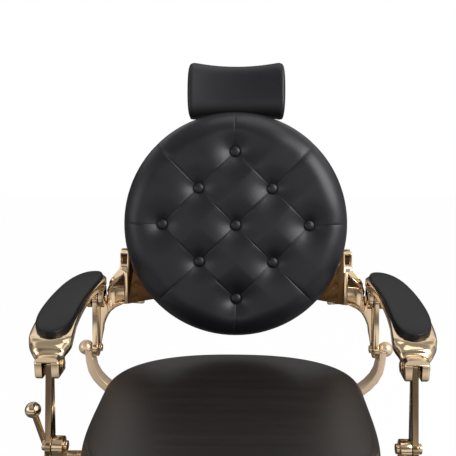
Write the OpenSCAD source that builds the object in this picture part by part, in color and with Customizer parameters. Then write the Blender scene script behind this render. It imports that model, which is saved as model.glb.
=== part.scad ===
// Barber chair with a round tufted back on cast yokes, arms that swing with the
// recline, a leg rest linked to them and a hydraulic pump base.
// The origin is the centre of the base on the floor, and the sitter faces -Y.
// Left and right are the sitter's, so left is +X.

/* [Seat] */
// Width of the seat cushion
seat_w = 524; // [500:1:530]
// Length of the seat cushion from front to back
seat_l = 500; // [480:1:505]
// How far the rear edge of the seat lies behind the swivel axis
seat_rear = 240; // [232:1:241]
// Depth of the round rear end of the seat
seat_round = 184; // [160:1:200]
// Height of the crown of the seat above the floor
seat_z = 548; // [533:1:568]
// Thickness of the seat cushion
seat_t = 108; // [93:1:114]
// Rise of the crown above the rounded edge
seat_crown = 6; // [4:1:12]
// Thickness of the seat board
seat_board_t = 15; // [12:1:16]

/* [Frame under the seat] */
// Height of the frame tubes
tube_h = 40; // [36:1:44]
// Width of the frame tubes
tube_w = 40; // [34:1:44]
// How far the middles of the two rails lie inside the sides of the seat cushion
rail_in = 102; // [97:1:112]
// How far the ends of the frame lie inside the sides of the seat cushion
frame_in = 47; // [42:1:50]
// Thickness of the bolted flanges of the side castings
flange_t = 10; // [8:1:12]

/* [Back] */
// Diameter of the round back cushion
back_d = 502; // [487:1:508]
// Thickness of the back cushion
back_t = 85; // [76:1:90]
// How much of that thickness lies behind the widest part
back_rear_t = 35; // [30:1:38]
// Lean of the back from upright
back_lean = 11.5; // [8:0.5:14]
// Height of the middle of the back above the back pivots
back_rise = 288; // [282:1:294]
// How far the middle of the back lies behind the back pivots
back_set = 21; // [18:1:24]
// Distance between the buttons, measured level
tuft_pitch = 81; // [76:0.1:84]
// Diameter of the covered buttons
button_d = 24; // [20:1:26]
// Depth of the pull at a button
tuft_depth = 20; // [14:1:24]
// Thickness of the covered board behind the back cushion
board_t = 12; // [10:1:14]
// Thickness of the cross plate behind the board
plate_t = 4; // [3:0.5:6]
// Width of the cross plate
plate_w = 500; // [492:1:504]

/* [Linkage] */
// Distance of the link planes outside the sides of the seat cushion
link_out = 58; // [54:1:62]
// Thickness of the yoke legs
leg_t = 12; // [11:0.5:13]
// Depth of the yoke legs
leg_w = 35; // [30:1:38]
// Distance of the back pivots behind the swivel axis
hub_y = 261; // [258:1:264]
// Depth of the back pivots below the crown of the seat
hub_drop = 3; // [0:1:8]
// Height of the rear arm pivot above the back pivot
leg_rise = 114; // [110:1:118]
// How far the rear arm pivot lies behind the back pivot
leg_set = 18; // [15:1:21]
// Distance between the two pivots of an arm
arm_pivot_l = 364; // [360:1:368]
// How much lower the front pivot of an arm is
arm_pivot_drop = 6; // [3:1:9]
// Distance of the front post pivots in front of the swivel axis
post_y = 110; // [106:1:114]
// Height of the front post pivots below the back pivots
post_drop = 35; // [30:1:40]
// Thickness of the front posts
post_t = 11; // [10:0.5:12]
// Depth of the front posts
post_w = 32; // [28:1:34]
// Height of the cranks below the front posts and on the leg rest
crank_drop = 70; // [64:1:76]
// How far those cranks lean back
crank_set = 30; // [26:1:34]
// Diameter of the pivot pins
pin_d = 12; // [10:0.5:13]
// Radial clearance of the pivot pins
pin_gap = 0.05; // [0.03:0.01:0.1]
// Radial clearance at the front arm pivots, which take up the swing
swing_gap = 2; // [1.6:0.1:2.2]

/* [Arms] */
// Length of an arm from its rear end to the front of its clevis
arm_l = 429; // [424:1:434]
// How far the rear end of an arm lies behind its rear pivot
arm_tail = 43; // [40:1:46]
// Height of the top of the pad at the rear above the rear arm pivot
pad_rise = 57; // [54:1:60]
// How much lower the pad is at its front
pad_droop = 11; // [6:1:14]
// Length of an arm pad
pad_l = 376; // [370:1:380]
// Width of an arm pad
pad_w = 70; // [64:1:72]
// Thickness of an arm pad
pad_t = 20; // [16:1:22]
// How far the front end of a pad lies outside the link plane
pad_out = 8; // [6:1:11]
// How far a pad bows outwards from there
pad_bow = 14; // [10:1:17]
// Width of the front clevis
front_clevis_w = 44; // [42:1:46]
// Width of the rear clevis
rear_clevis_w = 40; // [38:1:42]
// Radius of the rear clevis lugs
lug_r = 22; // [20:0.5:23]

/* [Headrest] */
// Width of the headrest pad
head_w = 228; // [214:1:240]
// Height of the headrest pad at its ends
head_h = 133; // [125:1:138]
// How much lower the pad is in its middle
head_dip = 10; // [6:1:16]
// Thickness of the headrest pad at its ends
head_t = 60; // [54:1:62]
// Hollow of the front of the headrest pad
head_hollow = 12; // [6:1:16]
// Height of the middle of the pad above the middle of the back, along the back
head_rise = 308; // [305:1:314]
// Tilt of the headrest pad from the back
head_tilt = 4; // [0:1:8]
// Width of the headrest post
head_post_w = 40; // [34:1:44]
// Thickness of the headrest post
head_post_t = 8; // [6:0.5:9]

/* [Leg rest] */
// Lean of the leg rest from upright
rest_lean = 20; // [16:1:22]
// Length of the leg rest from its shaft to the foot plate
rest_l = 300; // [290:1:304]
// Width of the calf pad
calf_w = 380; // [340:1:400]
// Length of the calf pad
calf_l = 175; // [150:1:180]
// Thickness of the calf pad
calf_t = 55; // [45:1:60]
// Diameter of the leg rest shaft
shaft_d = 20; // [18:1:22]
// Width of the foot plate
foot_w = 360; // [320:1:400]
// Length of the foot plate
foot_l = 200; // [180:1:210]

/* [Base and pump] */
// Diameter of the base over its rim
base_d = 686; // [660:1:700]
// Height of the dome where it meets the column
dome_z = 112; // [106:1:114]
// Diameter of the pump housing
pump_d = 110; // [104:1:114]
// Height of the top of the pump housing
pump_z = 330; // [320:1:334]
// Diameter of the lift ram
ram_d = 60; // [54:1:64]
// Travel of the lift
lift = 150; // [120:1:154]
// Length of the pump pedal from its pivot
pedal_l = 195; // [180:1:198]
// Outer diameter of the skirt round the column
skirt_d = 148; // [144:1:152]

/* [Recline lock and lever] */
// Diameter of the recline lock cylinder
lock_d = 28; // [24:1:30]
// Length of the recline lock cylinder
lock_l = 180; // [170:1:190]
// Length of the crank that the lock holds
lock_crank = 50; // [46:1:54]
// Distance of the lock from the middle of the chair
lock_x = 105; // [103:1:108]
// Diameter of the ball knob on the recline lever
knob_d = 30; // [26:1:34]
// How far the ball knob lies outside the link plane
knob_out = 54; // [50:1:60]

/* [Hidden] */
$fn = 48;

// Overrun of every cut
over = 1;
// Gap left between parts that lie against each other
seat_gap = 0.3;
// Side gap between a link and the faces that it turns between
side_gap = 1;
// Half the diameter of the pivot pins, and the bores that they turn in
pin_r = pin_d / 2;
pin_bore = pin_r + pin_gap;
// Rounding of small cast edges
small_r = 6;
// Thickness and radius of the cap nuts on the pins
nut_t = 7;
nut_r = 9;

// Distances from the middle of the chair, outwards
rail_x = seat_w / 2 - rail_in;
frame_half = seat_w / 2 - frame_in;
link_plane = seat_w / 2 + link_out;
pad_x = link_plane + pad_out;
knob_x = link_plane + knob_out;

// Heights of the frame under the seat
board_z = seat_z - seat_t - seat_board_t;
tube_z = board_z - tube_h;
tube_mid = board_z - tube_h / 2;

// Places of the pivots in the side view, as distance behind the swivel axis and height
hub = [hub_y, seat_z - hub_drop];
arm_rear = hub + [leg_set, leg_rise];
arm_front = arm_rear - [arm_pivot_l, arm_pivot_drop];
post_hub = [-post_y, hub.y - post_drop];
crank = [crank_set, -crank_drop];
post_stud = post_hub + crank;
rest_y = 215;
rest_hub = [-rest_y, tube_mid];
rest_stud = rest_hub + crank;

// Place of the middle of the back, and the pivots measured from there along the back
back_mid = hub + [back_set, back_rise];
function along_back(p) = let (d = p - back_mid)
    [d.x * cos(back_lean) - d.y * sin(back_lean), d.x * sin(back_lean) + d.y * cos(back_lean)];
leg_top = along_back(arm_rear);
leg_foot = along_back(hub);

// Layers behind the back cushion
board_y = back_rear_t;
plate_y = board_y + board_t;
yoke_y = plate_y + plate_t;
yoke_t = 18;

// Moves children into the frame of the leaning back, and mirrors them for the right side
module on_back() {
    translate([0, back_mid.x, back_mid.y]) rotate([-back_lean, 0, 0]) children();
}
module right_side() {
    mirror([1, 0, 0]) children();
}

// A rod along X between two places
module rod_x(x0, x1, place, r) {
    translate([x0, place.x, place.y]) rotate([0, 90, 0]) cylinder(h = x1 - x0, r = r);
}
// A side view, drawn with Y across and Z up, given a width along X
module slab_x(x0, x1) {
    translate([x0, 0, 0]) rotate([90, 0, 90]) linear_extrude(height = x1 - x0) children();
}
// A front view, drawn with X across and Z up, given a depth along Y
module slab_y(y0, y1) {
    translate([0, y1, 0]) rotate([90, 0, 0]) linear_extrude(height = y1 - y0) children();
}
// A box between two corners
module box(a, b) {
    translate(a) cube(b - a);
}
// A flat link with a round eye at each end, between two places in the side view
module link_x(x0, x1, a, b, ra, rb, w) {
    d = (b - a) / norm(b - a);
    side = [-d.y, d.x] * w / 2;
    rod_x(x0, x1, a, ra);
    rod_x(x0, x1, b, rb);
    slab_x(x0, x1) polygon([a + side, b + side, b - side, a - side]);
}
// A bar that bends along a list of places and keeps its thickness
module band_2d(path, w) {
    n = len(path);
    sides = [for (i = [0:n - 1])
        let (d = path[min(i + 1, n - 1)] - path[max(i - 1, 0)])
        [-d.y, d.x] / norm(d) * w / 2];
    polygon(concat([for (i = [0:n - 1]) path[i] + sides[i]], [for (i = [n - 1:-1:0]) path[i] - sides[i]]));
}
// A closed body through rings of points, with a middle point at each end
module loft(rings, start, end) {
    n = len(rings[0]);
    m = len(rings);
    points = concat([start], [for (ring = rings) each ring], [end]);
    last = 1 + n * m;
    faces = concat(
        [for (j = [0:n - 1]) [0, 1 + j, 1 + (j + 1) % n]],
        [for (i = [0:m - 2], j = [0:n - 1])
            let (a = 1 + i * n + j, b = 1 + i * n + (j + 1) % n)
            each [[a, a + n, b + n], [a, b + n, b]]],
        [for (j = [0:n - 1]) [last, last - n + (j + 1) % n, last - n + j]]);
    polyhedron(points = points, faces = faces);
}
// A point of a rounded rectangle of half sizes a and b, squarer as e grows
function squircle(a, b, e, t) =
    [a * sign(cos(t)) * pow(abs(cos(t)), 2 / e), b * sign(sin(t)) * pow(abs(sin(t)), 2 / e)];
// How full a padded body is along its length, from 0 at its ends to 1, fuller as e grows
function fullness(s, e) = sqrt(max(0, 1 - pow(abs(2 * s - 1), e)));

// Seat outline: round behind, square with round corners in front
seat_turn_y = seat_rear - seat_round;
seat_front_l = seat_l - seat_round;
rear_square = 2.35;
front_square = 5;
function seat_point(inset, z, t) = let (
    behind = sin(t) > 0,
    p = squircle(seat_w / 2 - inset, (behind ? seat_round : seat_front_l) - inset,
        behind ? rear_square : front_square, t))
    [p.x, seat_turn_y + p.y, z];
seat_sides = 56;
function seat_ring(inset, z) = [for (j = [0:seat_sides - 1]) seat_point(inset, z, 360 * j / seat_sides)];

module seat_cushion() {
    // Shares of the thickness and of the edge rounding, from the bottom up over the edge
    edge_shares = [[0, 0.3], [0.06, 0.12], [0.3, 0], [0.55, 0.02], [0.75, 0.14], [0.86, 0.4], [0.9, 0.75]];
    edge_r = 40;
    // Shares of the half width at which the crown is measured
    crown_shares = [0.25, 0.45, 0.7];
    body_t = seat_t - seat_gap;
    z0 = seat_z - body_t;
    rim_z = seat_z - seat_crown;
    color([0.13, 0.12, 0.12])
        loft(
            concat(
                [for (s = edge_shares) seat_ring(edge_r * s.y, z0 + (rim_z - z0) * s.x / 0.9)],
                [for (s = crown_shares)
                    seat_ring(seat_w / 2 * s, seat_z - seat_crown * pow(1 - s, 2))]),
            [0, seat_turn_y, z0],
            [0, seat_turn_y - seat_gap, seat_z]);
}

module seat_board() {
    board_inset = 14;
    color([0.45, 0.33, 0.2])
        translate([0, 0, board_z])
            linear_extrude(height = seat_board_t)
                polygon([for (p = seat_ring(board_inset, 0)) [p.x, p.y]]);
}

// Frame under the seat, welded from square tubes with closed ends
rail_front = rest_y + tube_w / 2;
hub_cross_y = 70;
rear_tube_y = hub_y - tube_w / 2;
lock_lug_t = 12;
lock_z = tube_z - lock_d;
lock_rear = rear_tube_y - tube_w;
module seat_frame() {
    lug_y = lock_rear + lock_lug_t;
    color([0.16, 0.15, 0.15])
        difference() {
            union() {
                for (s = [-1, 1])
                    box([s * rail_x - tube_w / 2, -rail_front, tube_z],
                        [s * rail_x + tube_w / 2, rear_tube_y, board_z]);
                for (s = [-1, 1])
                    box([-rail_x, s * hub_cross_y - tube_w / 2, tube_z],
                        [rail_x, s * hub_cross_y + tube_w / 2, board_z]);
                box([-frame_half, rear_tube_y - over, tube_z], [frame_half, rear_tube_y + tube_w, board_z]);
                box([-frame_half, -post_y - tube_w / 2, tube_z], [-rail_x, -post_y + tube_w / 2, board_z]);
                box([rail_x, -post_y - tube_w / 2, tube_z], [frame_half, -post_y + tube_w / 2, board_z]);
                // Lug that the recline lock hangs from, with the short cross bar above it
                box([0, lock_rear, tube_z], [rail_x, lug_y + tube_w / 2, tube_z + tube_h / 2]);
                box([lock_x - lock_lug_t / 2, lock_rear, lock_z - lock_d / 2],
                    [lock_x + lock_lug_t / 2, lug_y, tube_z + over]);
            }
            rod_x(-frame_half, frame_half, rest_hub, shaft_d / 2 + pin_gap);
        }
}

// Hub that sits on the ram and carries the frame
hub_plate_t = 10;
hub_plate_l = 200;
hub_bolt_r = 5;
hub_bolt_in = 14;
boss_r = 42;
boss_l = 40;
spindle_r = 22;
hub_plate_z = tube_z - hub_plate_t;
boss_z = hub_plate_z - boss_l;
hub_bolt_at = [rail_x, hub_plate_l / 2 - hub_bolt_in];
module hub_bolt_places() {
    for (sx = [-1, 1], sy = [-1, 1]) translate([sx * hub_bolt_at.x, sy * hub_bolt_at.y, 0]) children();
}
module seat_hub() {
    plate_half = rail_x + tube_w / 2;
    rib_t = 8;
    color([0.2, 0.19, 0.18])
        difference() {
            union() {
                box([-plate_half, -hub_plate_l / 2, hub_plate_z], [plate_half, hub_plate_l / 2, tube_z]);
                translate([0, 0, boss_z]) cylinder(h = boss_l + over, r = boss_r);
                for (a = [45:90:315])
                    rotate([0, 0, a])
                        slab_y(-rib_t / 2, rib_t / 2)
                            polygon([
                                [spindle_r * 1.5, boss_z + boss_l / 5],
                                [boss_r * 1.5, hub_plate_z + over],
                                [spindle_r * 1.5, hub_plate_z + over]]);
            }
            translate([0, 0, boss_z - over]) cylinder(h = boss_l, r = spindle_r + pin_gap);
            hub_bolt_places() translate([0, 0, hub_plate_z - over])
                cylinder(h = hub_plate_t + 2 * over, r = hub_bolt_r + pin_gap);
        }
}
module hub_bolts() {
    head_t = 6;
    head_r = 9;
    color([0.7, 0.68, 0.65])
        hub_bolt_places() {
            translate([0, 0, hub_plate_z - head_t]) cylinder(h = head_t, r = head_r, $fn = 6);
            translate([0, 0, hub_plate_z - over]) cylinder(h = hub_plate_t + over, r = hub_bolt_r);
        }
}

// Base: cast plate on a rubber ring and a foot under the pump, domed cover with a rolled rim, and a collar
ring_t = 6;
rim_r = 9;
rim_mid = base_d / 2 - rim_r;
plate_r = rim_mid - rim_r - seat_gap;
base_plate_t = 10;
collar_w = 28;
collar_t = 14;
cover_t = 2;
housing_r = pump_d / 2;
cover_hole = housing_r + collar_w / 2;
cover_edge_z = ring_t + base_plate_t;
// Height of the outside of the dome at a distance from the column
function dome_height(r) = cover_edge_z + cover_t
    + (dome_z - cover_edge_z - cover_t) * pow((plate_r - r) / (plate_r - cover_hole), 2.1);
module floor_ring() {
    color([0.08, 0.08, 0.08])
        rotate_extrude($fn = 96)
            polygon([[plate_r - 3 * rim_r, 0], [rim_mid, 0], [rim_mid, ring_t - seat_gap],
                [plate_r - 3 * rim_r, ring_t - seat_gap]]);
}
module base_plate() {
    color([0.3, 0.29, 0.28]) {
        translate([0, 0, ring_t]) cylinder(h = base_plate_t, r = plate_r, $fn = 96);
        cylinder(h = ring_t + over, r = housing_r + collar_w, $fn = 96);
    }
}
module base_rim() {
    color([0.86, 0.69, 0.45])
        translate([0, 0, ring_t + rim_r]) rotate_extrude($fn = 96) translate([rim_mid, 0]) circle(r = rim_r);
}
module base_cover() {
    steps = 14;
    radii = [for (i = [0:steps]) plate_r + (cover_hole - plate_r) * i / steps];
    color([0.86, 0.69, 0.45])
        rotate_extrude($fn = 96)
            polygon(concat(
                [for (r = radii) [r, dome_height(r)]],
                [for (i = [steps:-1:0]) [radii[i], dome_height(radii[i]) - cover_t + seat_gap / 2]]));
}
module base_collar() {
    inner = housing_r + seat_gap;
    outer = housing_r + collar_w;
    z = dome_z + seat_gap;
    color([0.86, 0.69, 0.45])
        rotate_extrude($fn = 72)
            polygon([[inner, z], [outer, z], [outer, z + collar_t / 2], [outer - collar_t / 2, z + collar_t],
                [inner, z + collar_t]]);
}

// Pump housing with the pedal bracket at the rear
pedal_reach = 33;
pedal_rise = 36;
pedal_pivot = [housing_r + pedal_reach, dome_z + pedal_rise];
pedal_t = 22;
pedal_eye = 13;
pump_pin_r = 5;
pedal_lug_t = 12;
ram_bore_floor = 40;
module pump_housing() {
    lug_x = pedal_t / 2 + side_gap;
    cap_t = 16;
    cap_w = 5;
    color([0.86, 0.69, 0.45])
        difference() {
            union() {
                translate([0, 0, cover_edge_z]) cylinder(h = pump_z - cover_edge_z, r = housing_r);
                translate([0, 0, pump_z - cap_t]) cylinder(h = cap_t, r = housing_r + cap_w);
                for (s = [-1, 1])
                    link_x(s > 0 ? lug_x : -lug_x - pedal_lug_t, s > 0 ? lug_x + pedal_lug_t : -lug_x,
                        [housing_r / 2, pedal_pivot.y], pedal_pivot, pedal_eye, pedal_eye,
                        1.9 * pedal_eye);
            }
            translate([0, 0, ram_bore_floor]) cylinder(h = pump_z, r = ram_d / 2 + pin_gap);
            rod_x(-lug_x - 2 * pedal_lug_t, lug_x + 2 * pedal_lug_t, pedal_pivot, pump_pin_r + pin_gap);
        }
}
module pump_pin() {
    half = pedal_t / 2 + side_gap + pedal_lug_t;
    color([0.7, 0.68, 0.65]) {
        rod_x(-half, half, pedal_pivot, pump_pin_r);
        for (x = [-half - pump_pin_r, half]) rod_x(x, x + pump_pin_r, pedal_pivot, 2 * pump_pin_r);
    }
}
pedal_slope = 8;
pedal_end = pedal_pivot + pedal_l * [cos(pedal_slope), -sin(pedal_slope)];
pedal_bar = 16;
pedal_foot = [76, 56];
pedal_foot_t = 5;
// Moves children to the end of the pedal, along its slope and on top of its bar
module on_pedal() {
    translate([0, pedal_end.x, pedal_end.y])
        rotate([-pedal_slope, 0, 0])
            translate([0, 0, pedal_bar / 2])
                children();
}
module pump_pedal() {
    sink = pedal_bar / 4;
    color([0.86, 0.69, 0.45])
        difference() {
            union() {
                link_x(-pedal_t / 2, pedal_t / 2, pedal_pivot, pedal_end,
                    0.92 * pedal_eye, pedal_bar / 2, pedal_bar);
                on_pedal()
                    box([-pedal_foot.x / 2, -pedal_foot.y / 2, -sink],
                        [pedal_foot.x / 2, pedal_foot.y / 2, pedal_foot_t]);
            }
            rod_x(-pedal_t, pedal_t, pedal_pivot, pump_pin_r + pin_gap);
        }
}
module pedal_pad() {
    pad_h = 10;
    rib = 5;
    ribs = 9;
    color([0.08, 0.08, 0.08])
        on_pedal()
            translate([0, 0, pedal_foot_t])
                difference() {
                    box([-pedal_foot.x / 2, -pedal_foot.y / 2, 0],
                        [pedal_foot.x / 2, pedal_foot.y / 2, pad_h]);
                    for (i = [1:ribs - 1])
                        translate([pedal_foot.x * (i / ribs - 1 / 2), 0, pad_h / 2])
                            box([-rib / 4, -pedal_foot.y, 0], [rib / 4, pedal_foot.y, pad_h]);
                }
}
// Length of the ram that stays in the housing at the top of the lift
ram_guide = 120;
ram_foot = pump_z - lift - ram_guide;
module lift_ram() {
    shoulder = boss_z - seat_gap;
    color([0.82, 0.8, 0.78]) {
        translate([0, 0, ram_foot]) cylinder(h = shoulder - ram_foot, r = ram_d / 2);
        translate([0, 0, shoulder - over]) cylinder(h = boss_l - 2 * over, r = spindle_r);
    }
}
module column_skirt() {
    wall = 3;
    skirt_clear = 8;
    foot_z = pedal_pivot.y + pedal_eye + skirt_clear;
    color([0.86, 0.69, 0.45])
        difference() {
            translate([0, 0, foot_z]) cylinder(h = hub_plate_z - foot_z, r = skirt_d / 2, $fn = 72);
            translate([0, 0, foot_z - over])
                cylinder(h = hub_plate_z - foot_z + 2 * over, r = skirt_d / 2 - wall, $fn = 72);
        }
}

// Cast arms that carry the back: out from under the seat, then up to a ball outside each yoke leg
ball_r = 17;
ball_x = link_plane + leg_t / 2 + side_gap + ball_r;
support_w = 17;
support_d = 36;
module back_support() {
    face = link_plane + leg_t / 2 + side_gap;
    outside = face + support_w / 2;
    drop = hub.y - tube_mid;
    reach = outside - frame_half;
    path_shares = [[1, 0], [0.985, 0.2], [0.95, 0.36], [0.87, 0.5], [0.75, 0.62], [0.6, 0.73], [0.42, 0.84],
        [0.22, 0.93], [0.04, 0.98]];
    color([0.86, 0.69, 0.45])
        difference() {
            union() {
                slab_y(hub_y - support_d / 2, hub_y + support_d / 2)
                    band_2d([for (s = path_shares) [frame_half + reach * s.x, hub.y - drop * s.y]],
                        support_w);
                box([frame_half, rear_tube_y, tube_z],
                    [frame_half + flange_t, rear_tube_y + tube_w, board_z]);
                translate([ball_x, hub.x, hub.y]) sphere(r = ball_r);
            }
            // Room for the eye of the yoke leg
            translate([face - 2 * ball_r, hub.x - 2 * ball_r, hub.y - leg_eye - 2 * side_gap])
                cube([2 * ball_r, 4 * ball_r, 4 * ball_r]);
            rod_x(face - over, ball_x + pin_r, hub, pin_bore);
        }
}

// Brackets that carry the front posts, on the inner side of each post
module post_bracket() {
    face = link_plane - post_t / 2 - side_gap;
    inside = face - support_w / 2;
    drop = post_hub.y - tube_mid;
    reach = inside - frame_half;
    path_shares = [[1, 0], [1, 0.4], [0.98, 0.62], [0.9, 0.8], [0.74, 0.92], [0.5, 0.98], [0.05, 1]];
    color([0.86, 0.69, 0.45])
        difference() {
            union() {
                slab_y(-post_y - post_w / 2, -post_y + post_w / 2)
                    band_2d([for (s = path_shares) [frame_half + reach * s.x, post_hub.y - drop * s.y]],
                        support_w);
                box([frame_half, -post_y - tube_w / 2, tube_z],
                    [frame_half + flange_t, -post_y + tube_w / 2, board_z]);
                rod_x(face - support_w - over, face, post_hub, ball_r);
            }
            rod_x(face - 2 * support_w, face + over, post_hub, pin_bore);
        }
}

// Pins of the back pivots with cap nuts inside the legs, and pins of the front posts
module back_pins() {
    inner = link_plane - leg_t / 2 - side_gap;
    color([0.82, 0.74, 0.6])
        for (s = [0, 1])
            mirror([s, 0, 0]) rod_x(inner - nut_t / 2, ball_x, hub, pin_r);
}
module back_cap_nuts() {
    face = link_plane - leg_t / 2 - side_gap / 2;
    color([0.86, 0.69, 0.45])
        for (s = [0, 1])
            mirror([s, 0, 0])
                difference() {
                    rod_x(face - nut_t, face, hub, nut_r);
                    rod_x(face - nut_t / 2 - side_gap, face + over, hub, pin_bore);
                }
}
module post_pins() {
    inner = link_plane - post_t / 2 - side_gap - support_w;
    outer = link_plane + post_t / 2 + side_gap;
    color([0.86, 0.69, 0.45])
        for (s = [0, 1])
            mirror([s, 0, 0]) {
                rod_x(inner, outer, post_hub, pin_r);
                rod_x(outer - side_gap / 2, outer + nut_t, post_hub, nut_r);
                rod_x(inner - nut_t - over, inner - over, post_hub, nut_r);
                rod_x(inner - 2 * over, inner + over, post_hub, pin_r);
            }
}

// Recline lock: a cylinder under the seat whose rod holds a crank on the leg rest shaft
lock_rod_r = 6;
lock_pin_r = 6;
// The crank swings evenly to both sides of straight down
crank_lead = 17;
lock_pin = rest_hub + lock_crank * [sin(crank_lead), -cos(crank_lead)];
lock_axis = lock_pin.y;
lock_front = lock_rear - lock_l;
rod_in = 100;
module lock_cylinder() {
    color([0.12, 0.12, 0.12])
        difference() {
            translate([lock_x, lock_rear, lock_axis]) rotate([90, 0, 0]) cylinder(h = lock_l, r = lock_d / 2);
            translate([lock_x, lock_front + rod_in + 2 * over, lock_axis])
                rotate([90, 0, 0]) cylinder(h = rod_in + 4 * over, r = lock_rod_r + pin_gap);
        }
}
lock_eye_t = 12;
lock_slot_play = 0.4;
lock_slot_rise = 4;
module lock_rod() {
    eye_r = 13;
    color([0.82, 0.8, 0.78])
        difference() {
            union() {
                translate([lock_x, lock_front + rod_in, lock_axis])
                    rotate([90, 0, 0])
                        cylinder(h = lock_front + rod_in - lock_pin.x - eye_r / 2, r = lock_rod_r);
                box([lock_x - lock_eye_t / 2, lock_pin.x - eye_r, lock_axis - eye_r - lock_slot_rise / 2],
                    [lock_x + lock_eye_t / 2, lock_pin.x + eye_r, lock_axis + eye_r - lock_slot_rise / 2]);
            }
            box([lock_x - lock_eye_t, lock_pin.x - lock_pin_r - lock_slot_play,
                    lock_axis - lock_pin_r - lock_slot_rise],
                [lock_x + lock_eye_t, lock_pin.x + lock_pin_r + lock_slot_play,
                    lock_axis + lock_pin_r + lock_slot_play]);
        }
}

// Recline lever: a shaft out from the right rail, with an arm and a ball knob
lever_pivot = [40, tube_mid];
knob_ahead = 33;
knob_below = 10;
lever_knob_at = [-knob_ahead, seat_z - knob_below];
lever_r = 7;
lever_bush_r = 14;
lever_bush_l = 40;
lever_arm_r = 6;
module lever_bracket() {
    x = -rail_x - tube_w / 2;
    color([0.2, 0.19, 0.18])
        difference() {
            rod_x(x - lever_bush_l, x, lever_pivot, lever_bush_r);
            rod_x(x - lever_bush_l - over, x - lever_r, lever_pivot, lever_r + pin_gap);
        }
}
module recline_lever() {
    inner = -rail_x - tube_w / 2 - 2 * lever_r;
    d = lever_knob_at - lever_pivot;
    tilt = atan2(-d.x, d.y);
    color([0.86, 0.69, 0.45]) {
        rod_x(-knob_x - lever_r, inner, lever_pivot, lever_r);
        translate([-knob_x, lever_pivot.x, lever_pivot.y])
            rotate([tilt, 0, 0]) cylinder(h = norm(d), r = lever_arm_r);
    }
}
module lever_knob() {
    d = lever_knob_at - lever_pivot;
    tilt = atan2(-d.x, d.y);
    color([0.86, 0.69, 0.45])
        difference() {
            translate([-knob_x, lever_knob_at.x, lever_knob_at.y]) sphere(r = knob_d / 2);
            translate([-knob_x, lever_pivot.x, lever_pivot.y])
                rotate([tilt, 0, 0]) cylinder(h = norm(d) + pin_gap, r = lever_arm_r + pin_gap);
        }
}

// Tufted back cushion: buttons on a lattice turned by 45 degrees, creases between neighbours
buttons = [for (i = [-2:2], j = [-2:2]) if (abs(i) + abs(j) <= 2 && (i + j) % 2 == 0) [i, j] * tuft_pitch];
outer_buttons = [for (b = buttons) if (norm(b) > 0) b];
creases = concat(
    [for (a = buttons, b = buttons) if (a.y < b.y && abs(norm(a - b) - tuft_pitch * sqrt(2)) < over) [a, b]],
    [for (b = outer_buttons) [b, b / norm(b) * back_d / 2]]);
button_pull = 20;
crease_pull = 11;
crease_share = 0.42;
function crease_distance(p, c) = let (
    d = c[1] - c[0],
    t = max(0, min(1, (p - c[0]) * d / (d * d))))
    norm(p - c[0] - d * t);
function pull_at(p) = let (
    b = min([for (q = buttons) norm(p - q)]),
    c = min([for (q = creases) crease_distance(p, q)]))
    tuft_depth * max(exp(-pow(b / button_pull, 2)), crease_share * exp(-pow(c / crease_pull, 2)));
back_front = back_t - back_rear_t;
back_r = back_d / 2;
edge_round = 44;
// Depth of the front face of the cushion, with its crown and its rounded rim
function front_face(r) = let (e = max(0, r - back_r + edge_round) / edge_round)
    -back_front * (0.86 + 0.14 * cos(90 * min(1, r / back_r)))
    + back_front * (1 - sqrt(max(0, 1 - e * e)));
module back_cushion() {
    sides = 64;
    lattice_r = [tuft_pitch * sqrt(2), tuft_pitch * 2];
    rim_shares = [0.3, 0.6, 0.82, 0.95, 1];
    inner_r = concat(
        [for (i = [1:5]) lattice_r[0] * i / 5],
        [for (i = [1:2]) lattice_r[0] + (lattice_r[1] - lattice_r[0]) * i / 2],
        [for (i = [1:2]) lattice_r[1] + (back_r - edge_round - lattice_r[1]) * i / 2]);
    radii = concat(inner_r, [for (s = rim_shares) back_r - edge_round + edge_round * s]);
    // Shares of the rear depth and of the rim rounding behind the widest part
    rear_shares = [[0.6, 0.01], [0.9, 0.12], [1, 0.3]];
    function turn(r, y, t) = [r * sin(t), y, r * cos(t)];
    function face_point(r, t) = let (p = [r * sin(t), r * cos(t)]) [p.x, front_face(r) + pull_at(p), p.y];
    color([0.1, 0.1, 0.11])
        on_back()
            difference() {
                loft(
                    concat(
                        [for (r = radii) [for (j = [0:sides - 1]) face_point(r, 360 * j / sides)]],
                        [for (s = rear_shares)
                            let (r = back_r - edge_round * s.y, y = (back_rear_t - seat_gap) * s.x)
                            [for (j = [0:sides - 1]) turn(r, y, 360 * j / sides)]]),
                    [0, front_face(0) + pull_at([0, 0]), 0],
                    [0, back_rear_t - seat_gap, 0]);
                for (b = buttons)
                    translate([b.x, button_floor(norm(b)), b.y])
                        rotate([90, 0, 0]) cylinder(h = back_t, r = button_d / 2 + seat_gap);
            }
}
// Depth at which a button sits, measured along the lean of the back
function button_floor(r) = front_face(r) + tuft_depth + seat_gap;
module back_buttons() {
    cap_t = 7;
    edge_t = 2;
    r = button_d / 2;
    ball = (r * r + cap_t * cap_t) / (2 * cap_t);
    steps = 6;
    color([0.1, 0.1, 0.11])
        on_back()
            for (b = buttons)
                translate([b.x, button_floor(norm(b)), b.y])
                    rotate([90, 0, 0])
                        rotate_extrude()
                            polygon(concat(
                                [[0, 0], [r, 0]],
                                [for (i = [0:steps])
                                    let (x = r * (1 - i / steps))
                                    [x, edge_t + sqrt(max(0, ball * ball - x * x)) - ball + cap_t]]));
}
module back_board() {
    inset = 14;
    soft_edge = 4;
    color([0.11, 0.11, 0.12])
        on_back()
            translate([0, plate_y - seat_gap / 2, 0]) rotate([90, 0, 0])
                rotate_extrude($fn = 96)
                    polygon([[0, 0], [back_r - inset - soft_edge, 0], [back_r - inset, soft_edge],
                        [back_r - inset, board_t - seat_gap], [0, board_t - seat_gap]]);
}

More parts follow.
